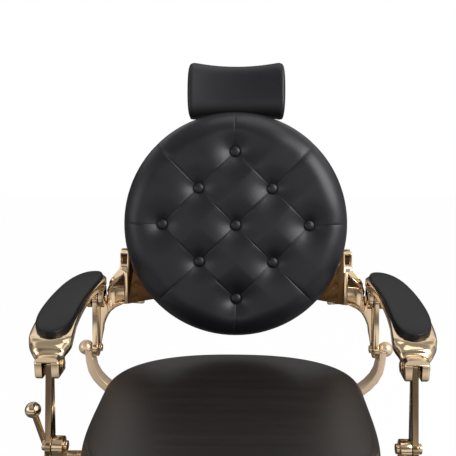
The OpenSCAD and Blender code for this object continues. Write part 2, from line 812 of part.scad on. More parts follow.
// Cross plate behind the board, with an arched lower edge, that ties the two yokes together
plate_top = -58;
plate_foot = -187;
plate_arch = 27;
bolt_r = 5;
bolt_x = plate_w / 2 - 18;
bolt_z_shares = [0.12, 0.4, 0.66, 0.9];
function bolt_z(s) = plate_top + (plate_foot - plate_top) * s;
module bolt_places() {
    for (side = [-1, 1], s = bolt_z_shares)
        translate([side * bolt_x, 0, bolt_z(s)]) rotate([-90, 0, 0]) children();
}
module back_plate() {
    steps = 16;
    half = plate_w / 2;
    color([0.66, 0.5, 0.33])
        on_back()
            difference() {
                slab_y(plate_y, yoke_y)
                    polygon(concat(
                        [[half, plate_top], [-half, plate_top]],
                        [for (i = [0:steps])
                            let (s = -1 + 2 * i / steps)
                            [half * s, plate_foot + plate_arch * (1 - s * s)]]));
                translate([0, plate_y - over, 0])
                    bolt_places() cylinder(h = plate_t + 2 * over, r = bolt_r + pin_gap);
            }
}
module yoke_bolts() {
    head_t = 5;
    head_r = 8;
    color([0.86, 0.69, 0.45])
        on_back()
            bolt_places() {
                translate([0, 0, plate_y + seat_gap]) cylinder(h = plate_t + yoke_t, r = bolt_r);
                translate([0, 0, yoke_y + yoke_t]) cylinder(h = head_t, r = head_r);
            }
}

// Cast yoke: a webbed bracket behind the plate that runs out and down into the leg
leg_eye = 20;
module yoke() {
    inner = plate_w / 2 - 2 * (plate_w / 2 - bolt_x);
    outer = link_plane + leg_t / 2;
    w = outer - plate_w / 2;
    h = plate_top - leg_foot.y;
    // Outline from the top outwards and down the leg: shares of the reach beyond the plate, and of
    // the height
    outline_shares = [[0, 0], [0.2, 0], [0.235, 0.012], [0.24, 0.03], [0.235, 0.045], [0.255, 0.055],
        [0.26, 0.15], [0.265, 0.18], [0.285, 0.21], [0.42, 0.265], [0.56, 0.325], [0.59, 0.35], [0.6, 0.475],
        [0.8, 0.478], [1, 0.485], [1, 1], [0.82, 1], [0.8, 0.9], [0.76, 0.78], [0.68, 0.71], [0.58, 0.655],
        [0.42, 0.61], [0.2, 0.575], [0.05, 0.555]];
    pocket_shares = [[0.56, 0.41], [0.11, 0.25], [0.11, 0.38], [0.4, 0.387]];
    panel_shares = [[0.55, 0.45], [0.41, 0.408], [0.11, 0.401], [0.11, 0.515], [0.36, 0.553], [0.52, 0.59]];
    tab_shares = [[0.04, 0.06], [0.21, 0.06], [0.21, 0.16], [0.04, 0.16]];
    rib_shares = [[0, 0.24], [0.1, 0.24], [0.1, 0.565], [0, 0.565]];
    function at(s) = [plate_w / 2 + w * s.x, plate_top - h * s.y];
    panel_depth = 3;
    tab_depth = 8;
    // Web left behind the pocket
    web_t = 3;
    color([0.86, 0.69, 0.45])
        on_back()
            difference() {
                union() {
                    slab_y(yoke_y, yoke_y + yoke_t)
                        polygon(concat(
                            [[inner, plate_foot], [inner, plate_top]],
                            [for (s = outline_shares) at(s)]));
                    // Rib beside the edge of the cross plate
                    slab_y(plate_y, yoke_y + over)
                        polygon([for (s = rib_shares) at(s) + [seat_gap, 0]]);
                    link_x(link_plane - leg_t / 2, outer, leg_top, leg_foot, leg_eye, leg_eye, leg_w);
                    slab_x(link_plane - leg_t / 2, outer)
                        polygon([
                            leg_top + [0, leg_eye / 3],
                            [yoke_y + yoke_t, leg_top.y + leg_eye / 3],
                            [yoke_y + yoke_t, leg_top.y - 3 * leg_eye],
                            leg_foot + [leg_w / 2 - over, leg_eye],
                            leg_foot]);
                }
                slab_y(yoke_y - over, yoke_y + panel_depth) polygon([for (s = panel_shares) at(s)]);
                slab_y(yoke_y - over, yoke_y + tab_depth) polygon([for (s = tab_shares) at(s)]);
                slab_y(yoke_y - over, yoke_y + yoke_t - web_t) polygon([for (s = pocket_shares) at(s)]);
                // Room for the inner lug of the arm
                rod_x(link_plane - rear_clevis_w / 2 - 2 * side_gap, link_plane - leg_t / 2, leg_top,
                    lug_r + 4 * side_gap);
                // The casting ends round the back pivot
                translate([0, 0, leg_foot.y - leg_eye])
                    box([inner, yoke_y - over, -leg_eye],
                        [link_plane - leg_t / 2, yoke_y + yoke_t + over, leg_eye / 2]);
                slab_x(inner, outer + over)
                    polygon([
                        leg_foot + [leg_w / 2, leg_eye / 2],
                        leg_foot + [leg_w / 2, -2 * leg_eye],
                        leg_foot + [3 * leg_w, -2 * leg_eye],
                        leg_foot + [3 * leg_w, 2 * leg_eye],
                        leg_foot + [leg_w, 2 * leg_eye]]);
                rod_x(inner, outer + over, leg_top, pin_bore);
                rod_x(inner, outer + over, leg_foot, pin_bore);
                bolt_bores();
            }
}
module bolt_bores() {
    translate([0, yoke_y - over, 0]) bolt_places() cylinder(h = yoke_t + 2 * over, r = bolt_r + pin_gap);
}

// Arm: a cast rail with a clevis at each end, a pad on top
arm_rear_end = arm_rear.x + arm_tail;
pad_z = arm_rear.y + pad_rise;
rail_top_gap = 0.4;
function pad_top(s) = pad_z - pad_droop * pow(s, 2.2);
// Share of the pad's length at which its bow is widest, and how much wider the pad is in front
bow_share = 0.5;
front_swell_share = 0.11;
function pad_mid_x(s) = pad_x + pad_bow * (1 - pow((s - bow_share) / (1 - bow_share), 2));
function pad_width(s) = pad_w * (1 + front_swell_share * s);
// Pad and rail narrow towards the rear end of the arm, the rail more bluntly
function tail_full(s, e) = s < 1 / 2 ? fullness(s, e) : 1;
pad_tail = 6;
rail_tail = 8;
// Share of the pad's length at a distance behind the swivel axis
function pad_share(y) = max(0, min(1, (arm_rear_end - y) / pad_l));
arm_sides = 20;
module arm_rail() {
    // Shares: place along the arm, width against the pad, drop of the top and depth of the rail
    // against the pad's rise, and the shift towards the link plane
    rail_shares = [
        [0.006, 0.8, 0, 0.3, 0.6], [0.016, 0.8, 0, 0.4, 0.7], [0.035, 0.82, 0, 0.47, 0.9],
        [0.05, 0.84, 0, 0.5, 1], [0.075, 1.1, 0, 0.5, 1], [0.12, 1.08, 0, 0.5, 0.8],
        [0.2, 1.05, 0, 0.44, 0.35], [0.35, 1.07, 0, 0.4, 0], [0.55, 1.09, 0, 0.42, 0],
        [0.7, 1.11, 0, 0.46, 0], [0.8, 1.11, 0, 0.52, 0.05], [0.86, 1.06, 0, 0.56, 0.15],
        [0.895, 0.98, 0.02, 0.6, 0.3], [0.925, 0.88, 0.09, 0.62, 0.55], [0.955, 0.75, 0.2, 0.6, 0.8],
        [0.98, 0.66, 0.3, 0.5, 1], [0.995, 0.6, 0.38, 0.4, 1]];
    rear_slot = leg_t / 2 + 2.5 * side_gap;
    front_slot = post_t / 2 + 3 * side_gap;
    front_l = arm_front.x - (arm_rear_end - arm_l);
    clevis_foot = 19;
    clevis_head = 22;
    front_z = arm_front.y - clevis_foot;
    front_top = arm_front.y + clevis_head;
    function rail_ring(s) = let (
        y = arm_rear_end - arm_l * s[0],
        top = pad_top(pad_share(y)) - pad_t - rail_top_gap - pad_rise * s[2],
        h = pad_rise * s[3] / 2,
        mid = pad_mid_x(pad_share(y)) * (1 - s[4]) + link_plane * s[4])
        [for (j = [0:arm_sides - 1])
            let (t = 360 * j / arm_sides,
                half = pad_w * s[1] * tail_full(pad_share(y), rail_tail) / 2,
                p = squircle(half, h, sin(t) > 0 ? 12 : 2.6, t))
            [mid + p.x * (sin(t) > 0 ? 1 : 1 - 0.16 * abs(sin(t))), y, top - h + p.y]];
    rings = [for (s = rail_shares) rail_ring(s)];
    color([0.86, 0.69, 0.45])
        difference() {
            union() {
                loft(rings, ring_mid(rings[0]), ring_mid(rings[len(rings) - 1]));
                slab_y(arm_front.x - front_l, arm_front.x + front_l)
                    translate([link_plane - front_clevis_w / 2, front_z])
                        rounded_2d(front_clevis_w, front_top - front_z, small_r);
                rear_lugs();
            }
            box([link_plane - front_slot, arm_front.x - 2 * front_l, front_z - over],
                [link_plane + front_slot, arm_front.x + 1.6 * front_l,
                    arm_front.y + post_eye + 3 * side_gap]);
            rod_x(link_plane - front_clevis_w, link_plane + front_clevis_w, arm_front, pin_bore);
            // Spot faces under the heads of the front pin
            for (x = [link_plane - 1.5 * front_clevis_w, link_plane + front_clevis_w / 2])
                rod_x(x, x + front_clevis_w, arm_front, nut_r + side_gap);
            box([link_plane - rear_slot, arm_rear.x - 1.15 * lug_r, arm_rear.y - lug_r - over],
                [link_plane + rear_slot, arm_rear.x + arm_tail + over, arm_rear.y + leg_eye + 2 * side_gap]);
            rod_x(link_plane - rear_clevis_w, link_plane + rear_clevis_w, arm_rear, pin_bore);
        }
}
function ring_mid(ring) = let (n = len(ring))
    [for (i = [0:2]) [for (p = ring) p[i]] * [for (p = ring) 1 / n]];
// Rear clevis: two round lugs that hang from the rail
module rear_lugs() {
    half = rear_clevis_w / 2;
    rod_x(link_plane - half, link_plane + half, arm_rear, lug_r);
    slab_x(link_plane - half, link_plane + half)
        translate(arm_rear - [lug_r - over / 2, 0]) square([2 * lug_r - over, lug_r]);
}
// A rectangle with its two lower corners rounded
module rounded_2d(w, h, r) {
    difference() {
        square([w, h]);
        for (s = [0, 1])
            translate([s * w, 0]) mirror([s, 0])
                difference() {
                    translate([-over, -over]) square([r + over, r + over]);
                    translate([r, r]) circle(r = r);
                }
    }
}
module arm_pad() {
    steps = 16;
    rise = pad_t * 0.62;
    fall = pad_t - rise;
    function pad_ring(i) = let (
        s = (1 - cos(180 * i / steps)) / 2,
        y = arm_rear_end - pad_l * s,
        f = s < 1 / 2 ? tail_full(s, pad_tail) : fullness(s, 9),
        base = pad_top(s) - pad_t)
        [for (j = [0:arm_sides - 1])
            let (t = 360 * j / arm_sides,
                up = sin(t) > 0,
                p = squircle(pad_width(s) * f / 2, up ? rise * (0.35 + 0.65 * f) : fall, up ? 2.5 : 4, t))
            [pad_mid_x(s) + p.x, y, base + fall + p.y]];
    color([0.13, 0.12, 0.12])
        loft(
            [for (i = [1:steps - 1]) pad_ring(i)],
            [pad_mid_x(0), arm_rear_end, pad_top(0) - pad_t + fall],
            [pad_mid_x(1), arm_rear_end - pad_l, pad_top(1) - pad_t + fall]);
}
module arm_pins() {
    color([0.86, 0.69, 0.45])
        for (place = [[arm_rear, rear_clevis_w / 2], [arm_front, front_clevis_w / 2]]) {
            half = place[1];
            rod_x(link_plane - half - over, link_plane + half + over, place[0], pin_r);
            for (x = [link_plane - half - pin_r / 2 - seat_gap, link_plane + half + seat_gap])
                rod_x(x, x + pin_r / 2, place[0], nut_r);
        }
}

// Front post: a bent lever from the front arm pivot down to its hub, with a crank below it
post_eye = 16;
stud_r = 6;
stud_eye = 14;
tie_eye = 13;
rod_t = 10;
rod_face = link_plane + post_t / 2 + side_gap;
module front_post() {
    inner = link_plane - post_t / 2;
    outer = link_plane + post_t / 2;
    color([0.86, 0.69, 0.45]) {
        difference() {
            union() {
                link_x(inner, outer, arm_front, post_hub, post_eye, 1.1 * ball_r, 0.97 * post_w);
                link_x(inner, outer, post_hub, post_stud, 1.1 * ball_r, stud_eye, 1.6 * stud_eye);
            }
            rod_x(link_plane - post_t, link_plane + post_t, arm_front, pin_r + swing_gap);
            rod_x(link_plane - post_t, link_plane + post_t, post_hub, pin_bore);
        }
        stud(post_stud);
    }
}
// Stud with a head that holds a tie rod
module stud(place) {
    rod_x(link_plane, rod_face + rod_t + side_gap, place, stud_r);
    rod_x(rod_face + rod_t + side_gap / 2, rod_face + rod_t + nut_t / 2, place, nut_r);
}
module tie_rod() {
    color([0.86, 0.69, 0.45])
        difference() {
            link_x(rod_face, rod_face + rod_t, post_stud, rest_stud, tie_eye, tie_eye, 1.5 * tie_eye);
            for (p = [post_stud, rest_stud]) rod_x(link_plane, link_plane + 3 * rod_t, p, stud_r + pin_gap);
        }
}

// Headrest: a guide on the board, a bent flat post, and a pad on a hinge
guide_w = 68;
guide_h = 86;
guide_z = 148;
guide_wall = 7;
post_y_in = plate_y + guide_wall;
head_y = 68;
head_board_t = 10;
hinge_r = 9;
hinge_gap = 8;
hinge_at = [head_y + head_t / 2 + head_board_t + hinge_gap + hinge_r, head_rise];
slide_play = 0.1;
module headrest_guide() {
    depth = 2 * guide_wall + head_post_t;
    color([0.86, 0.69, 0.45])
        on_back()
            difference() {
                box([-guide_w / 2, plate_y, guide_z - guide_h / 2],
                    [guide_w / 2, plate_y + depth, guide_z + guide_h / 2]);
                box([-head_post_w / 2 - slide_play, post_y_in - slide_play, guide_z - guide_h],
                    [head_post_w / 2 + slide_play, post_y_in + head_post_t + slide_play, guide_z + guide_h]);
                translate([0, post_y_in, guide_z]) rotate([-90, 0, 0])
                    cylinder(h = depth, r = knob_screw_r + pin_gap);
            }
}
knob_screw_r = 5;
module headrest_knob() {
    grip_r = 20;
    grip_t = 18;
    start = post_y_in + head_post_t + slide_play + seat_gap;
    back = plate_y + 2 * guide_wall + head_post_t;
    lobes = 6;
    color([0.1, 0.1, 0.1])
        on_back()
            translate([0, 0, guide_z])
                rotate([-90, 0, 0])
                    translate([0, 0, start]) {
                        cylinder(h = back - start + grip_t / 2, r = knob_screw_r);
                        translate([0, 0, back - start + 2 * side_gap])
                            difference() {
                                cylinder(h = grip_t, r = grip_r);
                                for (i = [0:lobes - 1])
                                    rotate([0, 0, 360 * i / lobes])
                                        translate([grip_r * 1.2, 0, -over])
                                            cylinder(h = grip_t + 2 * over, r = grip_r * 0.35);
                            }
                    }
}
post_low = -18;
bend_z = 206;
bend_r = 14;
module headrest_post() {
    mid = post_y_in + head_post_t / 2;
    color([0.86, 0.69, 0.45])
        on_back()
            difference() {
                union() {
                    slab_x(-head_post_w / 2, head_post_w / 2)
                        band_2d([
                            [mid, post_low], [mid, bend_z - bend_r],
                            [mid + bend_r / 3, bend_z - bend_r / 3], [mid + bend_r, bend_z],
                            [hinge_at.x - bend_r, bend_z + bend_r / 2],
                            [hinge_at.x - bend_r / 3, bend_z + bend_r * 0.85],
                            [hinge_at.x, bend_z + 1.5 * bend_r], hinge_at], head_post_t);
                    rod_x(-head_post_w / 2, head_post_w / 2, hinge_at, hinge_r);
                }
                rod_x(-head_post_w, head_post_w, hinge_at, pump_pin_r + pin_gap);
            }
}
hinge_ear_t = 8;
module headrest_pin() {
    half = head_post_w / 2 + side_gap + hinge_ear_t;
    color([0.82, 0.8, 0.78])
        on_back() {
            rod_x(-half, half, hinge_at, pump_pin_r);
            for (x = [-half - pump_pin_r, half]) rod_x(x, x + pump_pin_r, hinge_at, 1.5 * pump_pin_r);
        }
}
// Moves children into the frame of the headrest pad, which turns on its hinge
module on_headrest() {
    on_back()
        translate([0, hinge_at.x, hinge_at.y])
            rotate([-head_tilt, 0, 0])
                translate([0, -hinge_at.x, -hinge_at.y])
                    children();
}
head_board_y = head_y + head_t / 2 + seat_gap;
module headrest_board() {
    w = head_w * 0.8;
    h = (head_h - 2 * head_dip) * 0.85;
    ear_x = head_post_w / 2 + side_gap;
    color([0.11, 0.11, 0.12])
        on_headrest()
            difference() {
                union() {
                    slab_y(head_board_y, head_board_y + head_board_t)
                        translate([0, head_rise]) square([w, h], center = true);
                    for (s = [-1, 1])
                        link_x(s > 0 ? ear_x : -ear_x - hinge_ear_t, s > 0 ? ear_x + hinge_ear_t : -ear_x,
                            [head_board_y + head_board_t / 2, head_rise], hinge_at,
                            hinge_r / 2, hinge_r, 1.9 * hinge_r);
                }
                rod_x(-head_post_w, head_post_w, hinge_at, pump_pin_r + pin_gap);
            }
}
module headrest_cushion() {
    steps = 16;
    sides = 28;
    function head_ring(i) = let (
        s = (1 - cos(180 * i / steps)) / 2,
        u = 2 * s - 1,
        f = fullness(s, 12),
        h = (head_h / 2 - head_dip * (1 - u * u)) * (0.55 + 0.45 * f) * (f > 0 ? 1 : 0),
        front = head_t / 2 - head_hollow * (1 - u * u))
        [for (j = [0:sides - 1])
            let (t = 360 * j / sides,
                ahead = cos(t) < 0,
                p = squircle((ahead ? front : head_t / 2) * (0.3 + 0.7 * f), h, ahead ? 3.2 : 6, t))
            [head_w * u / 2, head_y + p.x, head_rise + p.y]];
    color([0.1, 0.1, 0.11])
        on_headrest()
            loft([for (i = [1:steps - 1]) head_ring(i)],
                [-head_w / 2, head_y, head_rise], [head_w / 2, head_y, head_rise]);
}

// Leg rest: drawn hanging straight down from its shaft, then leaned forward
bar_x = 120;
bar_t = 12;
bar_w = 30;
calf_top = 42;
calf_board_t = 12;
module on_legrest() {
    translate([0, rest_hub.x, rest_hub.y]) rotate([-rest_lean, 0, 0]) children();
}
module legrest_frame() {
    end_x = link_plane + post_t / 2;
    crank_x = link_plane - post_t / 2;
    lock_inner = lock_x - lock_eye_t / 2 - side_gap;
    foot_step = 30;
    color([0.86, 0.69, 0.45]) {
        rod_x(-end_x, end_x, rest_hub, shaft_d / 2);
        for (s = [0, 1])
            mirror([s, 0, 0]) {
                link_x(crank_x, end_x, rest_hub, rest_stud, ball_r, stud_eye, 1.6 * stud_eye);
                stud(rest_stud);
                on_legrest()
                    slab_x(bar_x - bar_t / 2, bar_x + bar_t / 2)
                        polygon([
                            [-bar_w / 2, 0], [bar_w / 2, 0], [bar_w / 2, -rest_l],
                            [-bar_w / 2 - foot_step, -rest_l], [-bar_w / 2 - foot_step, -rest_l + bar_t],
                            [-bar_w / 2, -rest_l + 2 * bar_t]]);
            }
        // Crank and pin that the recline lock holds
        link_x(lock_inner - bar_t, lock_inner, rest_hub, lock_pin, ball_r, stud_eye, 1.6 * stud_eye);
        rod_x(lock_inner - over, lock_x + lock_eye_t / 2 + side_gap, lock_pin, lock_pin_r);
    }
}
module calf_board() {
    inset = 12;
    color([0.45, 0.33, 0.2])
        on_legrest()
            box([-calf_w / 2 + inset, -bar_w / 2 - calf_board_t, -calf_top - calf_l + inset],
                [calf_w / 2 - inset, -bar_w / 2, -calf_top - inset]);
}
module calf_pad() {
    steps = 14;
    sides = 24;
    mid_y = -bar_w / 2 - calf_board_t - seat_gap - calf_t / 2;
    mid_z = -calf_top - calf_l / 2;
    function calf_ring(i) = let (
        s = (1 - cos(180 * i / steps)) / 2,
        f = fullness(s, 14))
        [for (j = [0:sides - 1])
            let (t = 360 * j / sides,
                ahead = cos(t) < 0,
                p = squircle(calf_t / 2 * (ahead ? f : 1), calf_l / 2 * (0.72 + 0.28 * f), ahead ? 3 : 9, t))
            [calf_w * (s - 1 / 2), mid_y + p.x, mid_z + p.y]];
    color([0.13, 0.12, 0.12])
        on_legrest()
            loft([for (i = [1:steps - 1]) calf_ring(i)],
                [-calf_w / 2, mid_y, mid_z], [calf_w / 2, mid_y, mid_z]);
}
foot_plate_t = 8;
tread_t = 5;
foot_rim = 12;
foot_y = -bar_w / 2;
module foot_plate() {
    color([0.86, 0.69, 0.45])
        on_legrest()
            translate([0, 0, -rest_l - foot_plate_t])
                difference() {
                    linear_extrude(height = foot_plate_t)
                        translate([-foot_w / 2, foot_y - foot_l]) foot_outline();
                    translate([0, 0, foot_plate_t - tread_t])
                        linear_extrude(height = foot_plate_t)
                            translate([-foot_w / 2 + foot_rim, foot_y - foot_l + foot_rim])
                                square([foot_w - 2 * foot_rim, foot_l - 5 * foot_rim]);
                }
}
// Foot plate outline with its two front corners rounded
module foot_outline() {
    rounded_2d(foot_w, foot_l, 5 * small_r);
}
module foot_tread() {
    grooves = 9;
    groove_w = 4;
    w = foot_w - 2 * foot_rim - 2 * seat_gap;
    l = foot_l - 5 * foot_rim - 2 * seat_gap;
    color([0.08, 0.08, 0.08])
        on_legrest()
            translate([-w / 2, foot_y - foot_l + foot_rim + seat_gap, -rest_l - tread_t])
                difference() {
                    cube([w, l, tread_t + over]);
                    for (i = [1:grooves])
                        translate([-over, l * i / (grooves + 1) - groove_w / 2, tread_t - over])
                            cube([w + 2 * over, groove_w, tread_t]);
                }
}

floor_ring();
base_plate();
base_rim();
base_cover();
base_collar();
pump_housing();
pump_pin();
pump_pedal();
pedal_pad();
lift_ram();
seat_hub();
hub_bolts();
column_skirt();
seat_frame();
back_support();  // back_support_left
right_side() back_support();  // back_support_right
post_bracket();  // post_bracket_left
right_side() post_bracket();  // post_bracket_right
back_pins();
back_cap_nuts();
post_pins();
seat_board();
seat_cushion();
lock_cylinder();
lock_rod();
lever_bracket();
recline_lever();
lever_knob();
yoke();  // yoke_left
right_side() yoke();  // yoke_right
yoke_bolts();
back_plate();
back_board();
back_cushion();
back_buttons();
headrest_guide();
headrest_post();
headrest_knob();
headrest_pin();
headrest_board();
headrest_cushion();
arm_rail();  // arm_rail_left
right_side() arm_rail();  // arm_rail_right
arm_pad();  // arm_pad_left
right_side() arm_pad();  // arm_pad_right
arm_pins();  // arm_pins_left
right_side() arm_pins();  // arm_pins_right
front_post();  // front_post_left
right_side() front_post();  // front_post_right
tie_rod();  // tie_rod_left
right_side() tie_rod();  // tie_rod_right
legrest_frame();
calf_board();
calf_pad();
foot_plate();
foot_tread();
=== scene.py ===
import math

import bmesh
import bpy
import numpy as np
from mathutils import Matrix, Vector


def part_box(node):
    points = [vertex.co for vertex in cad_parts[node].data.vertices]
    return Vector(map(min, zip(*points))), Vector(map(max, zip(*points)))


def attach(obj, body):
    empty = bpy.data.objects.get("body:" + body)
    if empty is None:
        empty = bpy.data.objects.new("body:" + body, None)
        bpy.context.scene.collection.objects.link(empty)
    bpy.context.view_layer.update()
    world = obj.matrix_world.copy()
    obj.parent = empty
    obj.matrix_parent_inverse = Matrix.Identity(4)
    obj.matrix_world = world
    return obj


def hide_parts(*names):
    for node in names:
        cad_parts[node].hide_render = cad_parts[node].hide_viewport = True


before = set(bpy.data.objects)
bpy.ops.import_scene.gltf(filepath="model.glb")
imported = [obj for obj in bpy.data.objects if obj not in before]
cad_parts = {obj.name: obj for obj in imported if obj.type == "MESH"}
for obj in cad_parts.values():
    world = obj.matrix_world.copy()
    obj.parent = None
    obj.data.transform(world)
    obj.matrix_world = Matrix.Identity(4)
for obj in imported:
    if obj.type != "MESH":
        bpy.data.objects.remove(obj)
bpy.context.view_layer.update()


# Camera: a normal lens at the height of the headrest, level across and tipped down towards the seat.
# Its place was solved from the round back, the buttons and the two arms.
view_tip, view_turn = 11.7, 1.124
camera = bpy.data.objects.new("studio_camera", bpy.data.cameras.new("studio_camera"))
camera.location = (0.0288, -1.1719, 1.1244)
camera.rotation_euler = (math.radians(90 - view_tip), 0, math.radians(view_turn))
camera.data.lens = 52.18
camera.data.sensor_width = 36
camera.data.shift_x = -0.01645
bpy.context.collection.objects.link(camera)
bpy.context.scene.camera = camera
bpy.context.scene.view_settings.view_transform = "Standard"


# Studio: a pale floor, a white surround and soft lamps, the main one high on the sitter's left.
# What metal and leather mirror is banded: soft boxes at some heights and black cloth between them.
class Socket:
    """A value that runs through a node tree; sums on it add Math nodes."""

    def __init__(self, tree, link):
        self.tree, self.link = tree, link

    def sum(self, operation, *values):
        return self.tree.node("ShaderNodeMath", {"operation": operation}, dict(enumerate(values)))

    def __add__(self, other):
        return self.sum("ADD", self, other)

    def __sub__(self, other):
        return self.sum("SUBTRACT", self, other)

    def __rsub__(self, other):
        return self.sum("SUBTRACT", other, self)

    def __mul__(self, other):
        return self.sum("MULTIPLY", self, other)

    def __pow__(self, other):
        return self.sum("POWER", self, other)

    __radd__ = __add__
    __rmul__ = __mul__

    def held(self):
        """The value held between 0 and 1."""
        return self.tree.node("ShaderNodeClamp", {}, {"Value": self})


class Tree:
    """A node tree with one way to add any node to it."""

    def __init__(self, tree):
        self.tree = tree

    def node(self, kind, settings=None, sockets=None, out=0):
        made = self.tree.nodes.new(kind)
        for key, value in (settings or {}).items():
            if key == "stops":
                ramp = made.color_ramp
                while len(ramp.elements) < len(value):
                    ramp.elements.new(1)
                for element, (place, grey) in zip(ramp.elements, value):
                    element.position, element.color = place, (grey, grey, grey, 1)
            else:
                setattr(made, key, value)
        for key, value in (sockets or {}).items():
            end = made.inputs[key]
            if isinstance(value, Socket):
                self.tree.links.new(value.link, end)
            else:
                end.default_value = value
        return Socket(self, made.outputs[out]) if len(made.outputs) else made

    def mix(self, factor, a, b):
        """A colour between two others; a Mix node has its colour sockets at these places."""
        return self.node("ShaderNodeMix", {"data_type": "RGBA"}, {0: factor, 6: a, 7: b}, 2)

    def place(self):
        """Object coordinates."""
        return self.node("ShaderNodeTexCoord", out="Object")

    def noise(self, scale, detail, roughness=0.5, vector=None):
        return self.node("ShaderNodeTexNoise", {}, {"Vector": vector or self.place(), "Scale": scale,
                                                    "Detail": detail, "Roughness": roughness})


class Finish(Tree):
    """A material: fixed values go on its shader's own sockets, varying ones are fed to it."""

    def __init__(self, name, **fixed):
        self.material = bpy.data.materials.new(name)
        self.material.use_nodes = True
        super().__init__(self.material.node_tree)
        self.shader = self.tree.nodes["Principled BSDF"]
        for key, value in fixed.items():
            self.shader.inputs[key.replace("_", " ")].default_value = value

    def feed(self, **varying):
        for key, value in varying.items():
            self.tree.links.new(value.link, self.shader.inputs[key.replace("_", " ")])

    def bumps(self, height, depth, strength=1.0):
        self.feed(Normal=self.node("ShaderNodeBump", {}, {"Strength": strength, "Distance": depth,
                                                          "Height": height}))


def shade(r, g, b):
    """A colour written as it shows on screen, from 0 to 255."""
    def linear(v):
        v /= 255
        return v / 12.92 if v <= 0.04045 else ((v + 0.055) / 1.055) ** 2.4
    return (linear(r), linear(g), linear(b), 1.0)


def smoothed(mesh):
    """Shades every face of a mesh smooth."""
    mesh.polygons.foreach_set("use_smooth", [True] * len(mesh.polygons))


def piece(name, points, faces, finish):
    """A smooth mesh object at the origin."""
    mesh = bpy.data.meshes.new(name)
    mesh.from_pydata([tuple(map(float, p)) for p in points], [], [tuple(map(int, f)) for f in faces])
    smoothed(mesh)
    mesh.materials.append(finish.material)
    made = bpy.data.objects.new(name, mesh)
    bpy.context.collection.objects.link(made)
    return made


floor_paint = Finish("studio_floor", Base_Color=shade(238, 238, 238), Roughness=0.9)
glow_share = 0.985
seen = floor_paint.node("ShaderNodeLightPath", out="Is Camera Ray")
glow = floor_paint.node("ShaderNodeEmission", {}, {"Color": (1, 1, 1, 1), "Strength": 1.0})
paint = Socket(floor_paint, floor_paint.shader.outputs[0])
mixed = floor_paint.node("ShaderNodeMixShader", {}, {0: seen * glow_share, 1: paint, 2: glow})
floor_paint.tree.links.new(mixed.link, floor_paint.tree.nodes["Material Output"].inputs["Surface"])
reach = 6.0
floor = piece("studio_floor", [(-reach, -reach, 0), (reach, -reach, 0), (reach, reach, 0),
                               (-reach, reach, 0)], [(0, 1, 2, 3)], floor_paint)
floor.visible_glossy = False

world = bpy.data.worlds.new("studio_surround")
world.use_nodes = True
bpy.context.scene.world = world
surround = Tree(world.node_tree)
rays = {name: surround.node("ShaderNodeLightPath", out="Is %s Ray" % name)
        for name in ("Camera", "Transmission", "Glossy")}
toward = surround.node("ShaderNodeTexCoord", out="Generated")
way_x, way_y, way_z = [surround.node("ShaderNodeSeparateXYZ", {}, {0: toward}, axis) for axis in "XYZ"]
how_high = 0.5 + 0.5 * way_z
# Brightness of the bands from straight below, 0, to straight above, 1
ahead = surround.node("ShaderNodeValToRGB", {"stops": [
    (0, 0.1), (0.2, 0.12), (0.26, 0.6), (0.3, 0.8), (0.34, 0.6), (0.38, 0.22), (0.46, 0.18), (0.5, 0.8),
    (0.56, 0.95), (0.66, 0.9), (0.71, 0.2), (0.78, 0.12), (0.86, 0.35), (1, 0.45)]}, {0: how_high})
behind = surround.node("ShaderNodeValToRGB", {"stops": [
    (0, 0.1), (0.45, 0.12), (0.61, 0.06), (0.67, 0.1), (0.69, 0.35), (0.73, 1.0), (0.79, 1.0),
    (0.85, 0.35), (1, 0.3)]}, {0: how_high})
to_rear = (0.5 + 1.2 * way_y).held()
to_right, to_left = way_x.held() ** 3, (0 - way_x).held() ** 3
mirrored = ahead * (1 - to_rear) + behind * to_rear + 0.35 * to_right + 0.05 * to_left
plain_light = 0.5
strength = (rays["Camera"] + rays["Transmission"]).held()
strength = strength + (1 - strength) * (rays["Glossy"] * mirrored + (1 - rays["Glossy"]) * plain_light)
background = world.node_tree.nodes["Background"]
background.inputs["Color"].default_value = (1, 1, 1, 1)
surround.tree.links.new(strength.link, background.inputs["Strength"])


def lamp(name, place, aim, size, power):
    """A soft square lamp that looks at a point."""
    made = bpy.data.objects.new(name, bpy.data.lights.new(name, "AREA"))
    made.data.size, made.data.energy = size, power
    made.location = place
    made.rotation_euler = (Vector(aim) - Vector(place)).to_track_quat("-Z", "Y").to_euler()
    bpy.context.collection.objects.link(made)


chair_middle = (0, 0.1, 0.75)
lamp("key_lamp", (2.0, -1.0, 2.3), chair_middle, 1.9, 64)
lamp("fill_lamp", (-2.3, -0.8, 1.4), chair_middle, 1.3, 6)
lamp("top_lamp", (0.3, 0.3, 2.9), chair_middle, 1.4, 8)


# Base: a cast plate on a rubber ring under a pressed and plated dome with a rolled rim.
# A turned collar closes the dome round the pump housing.
def fit(made, body, slot, *nodes):
    """Lets a piece ride on a body and stand for CAD nodes."""
    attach(made, body)
    if nodes:
        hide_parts(*nodes)
    return made


def faced_out(made):
    """Turns the faces of a closed piece outwards."""
    solid = bmesh.new()
    solid.from_mesh(made.data)
    bmesh.ops.recalc_face_normals(solid, faces=solid.faces)
    solid.to_mesh(made.data)
    solid.free()
    return made


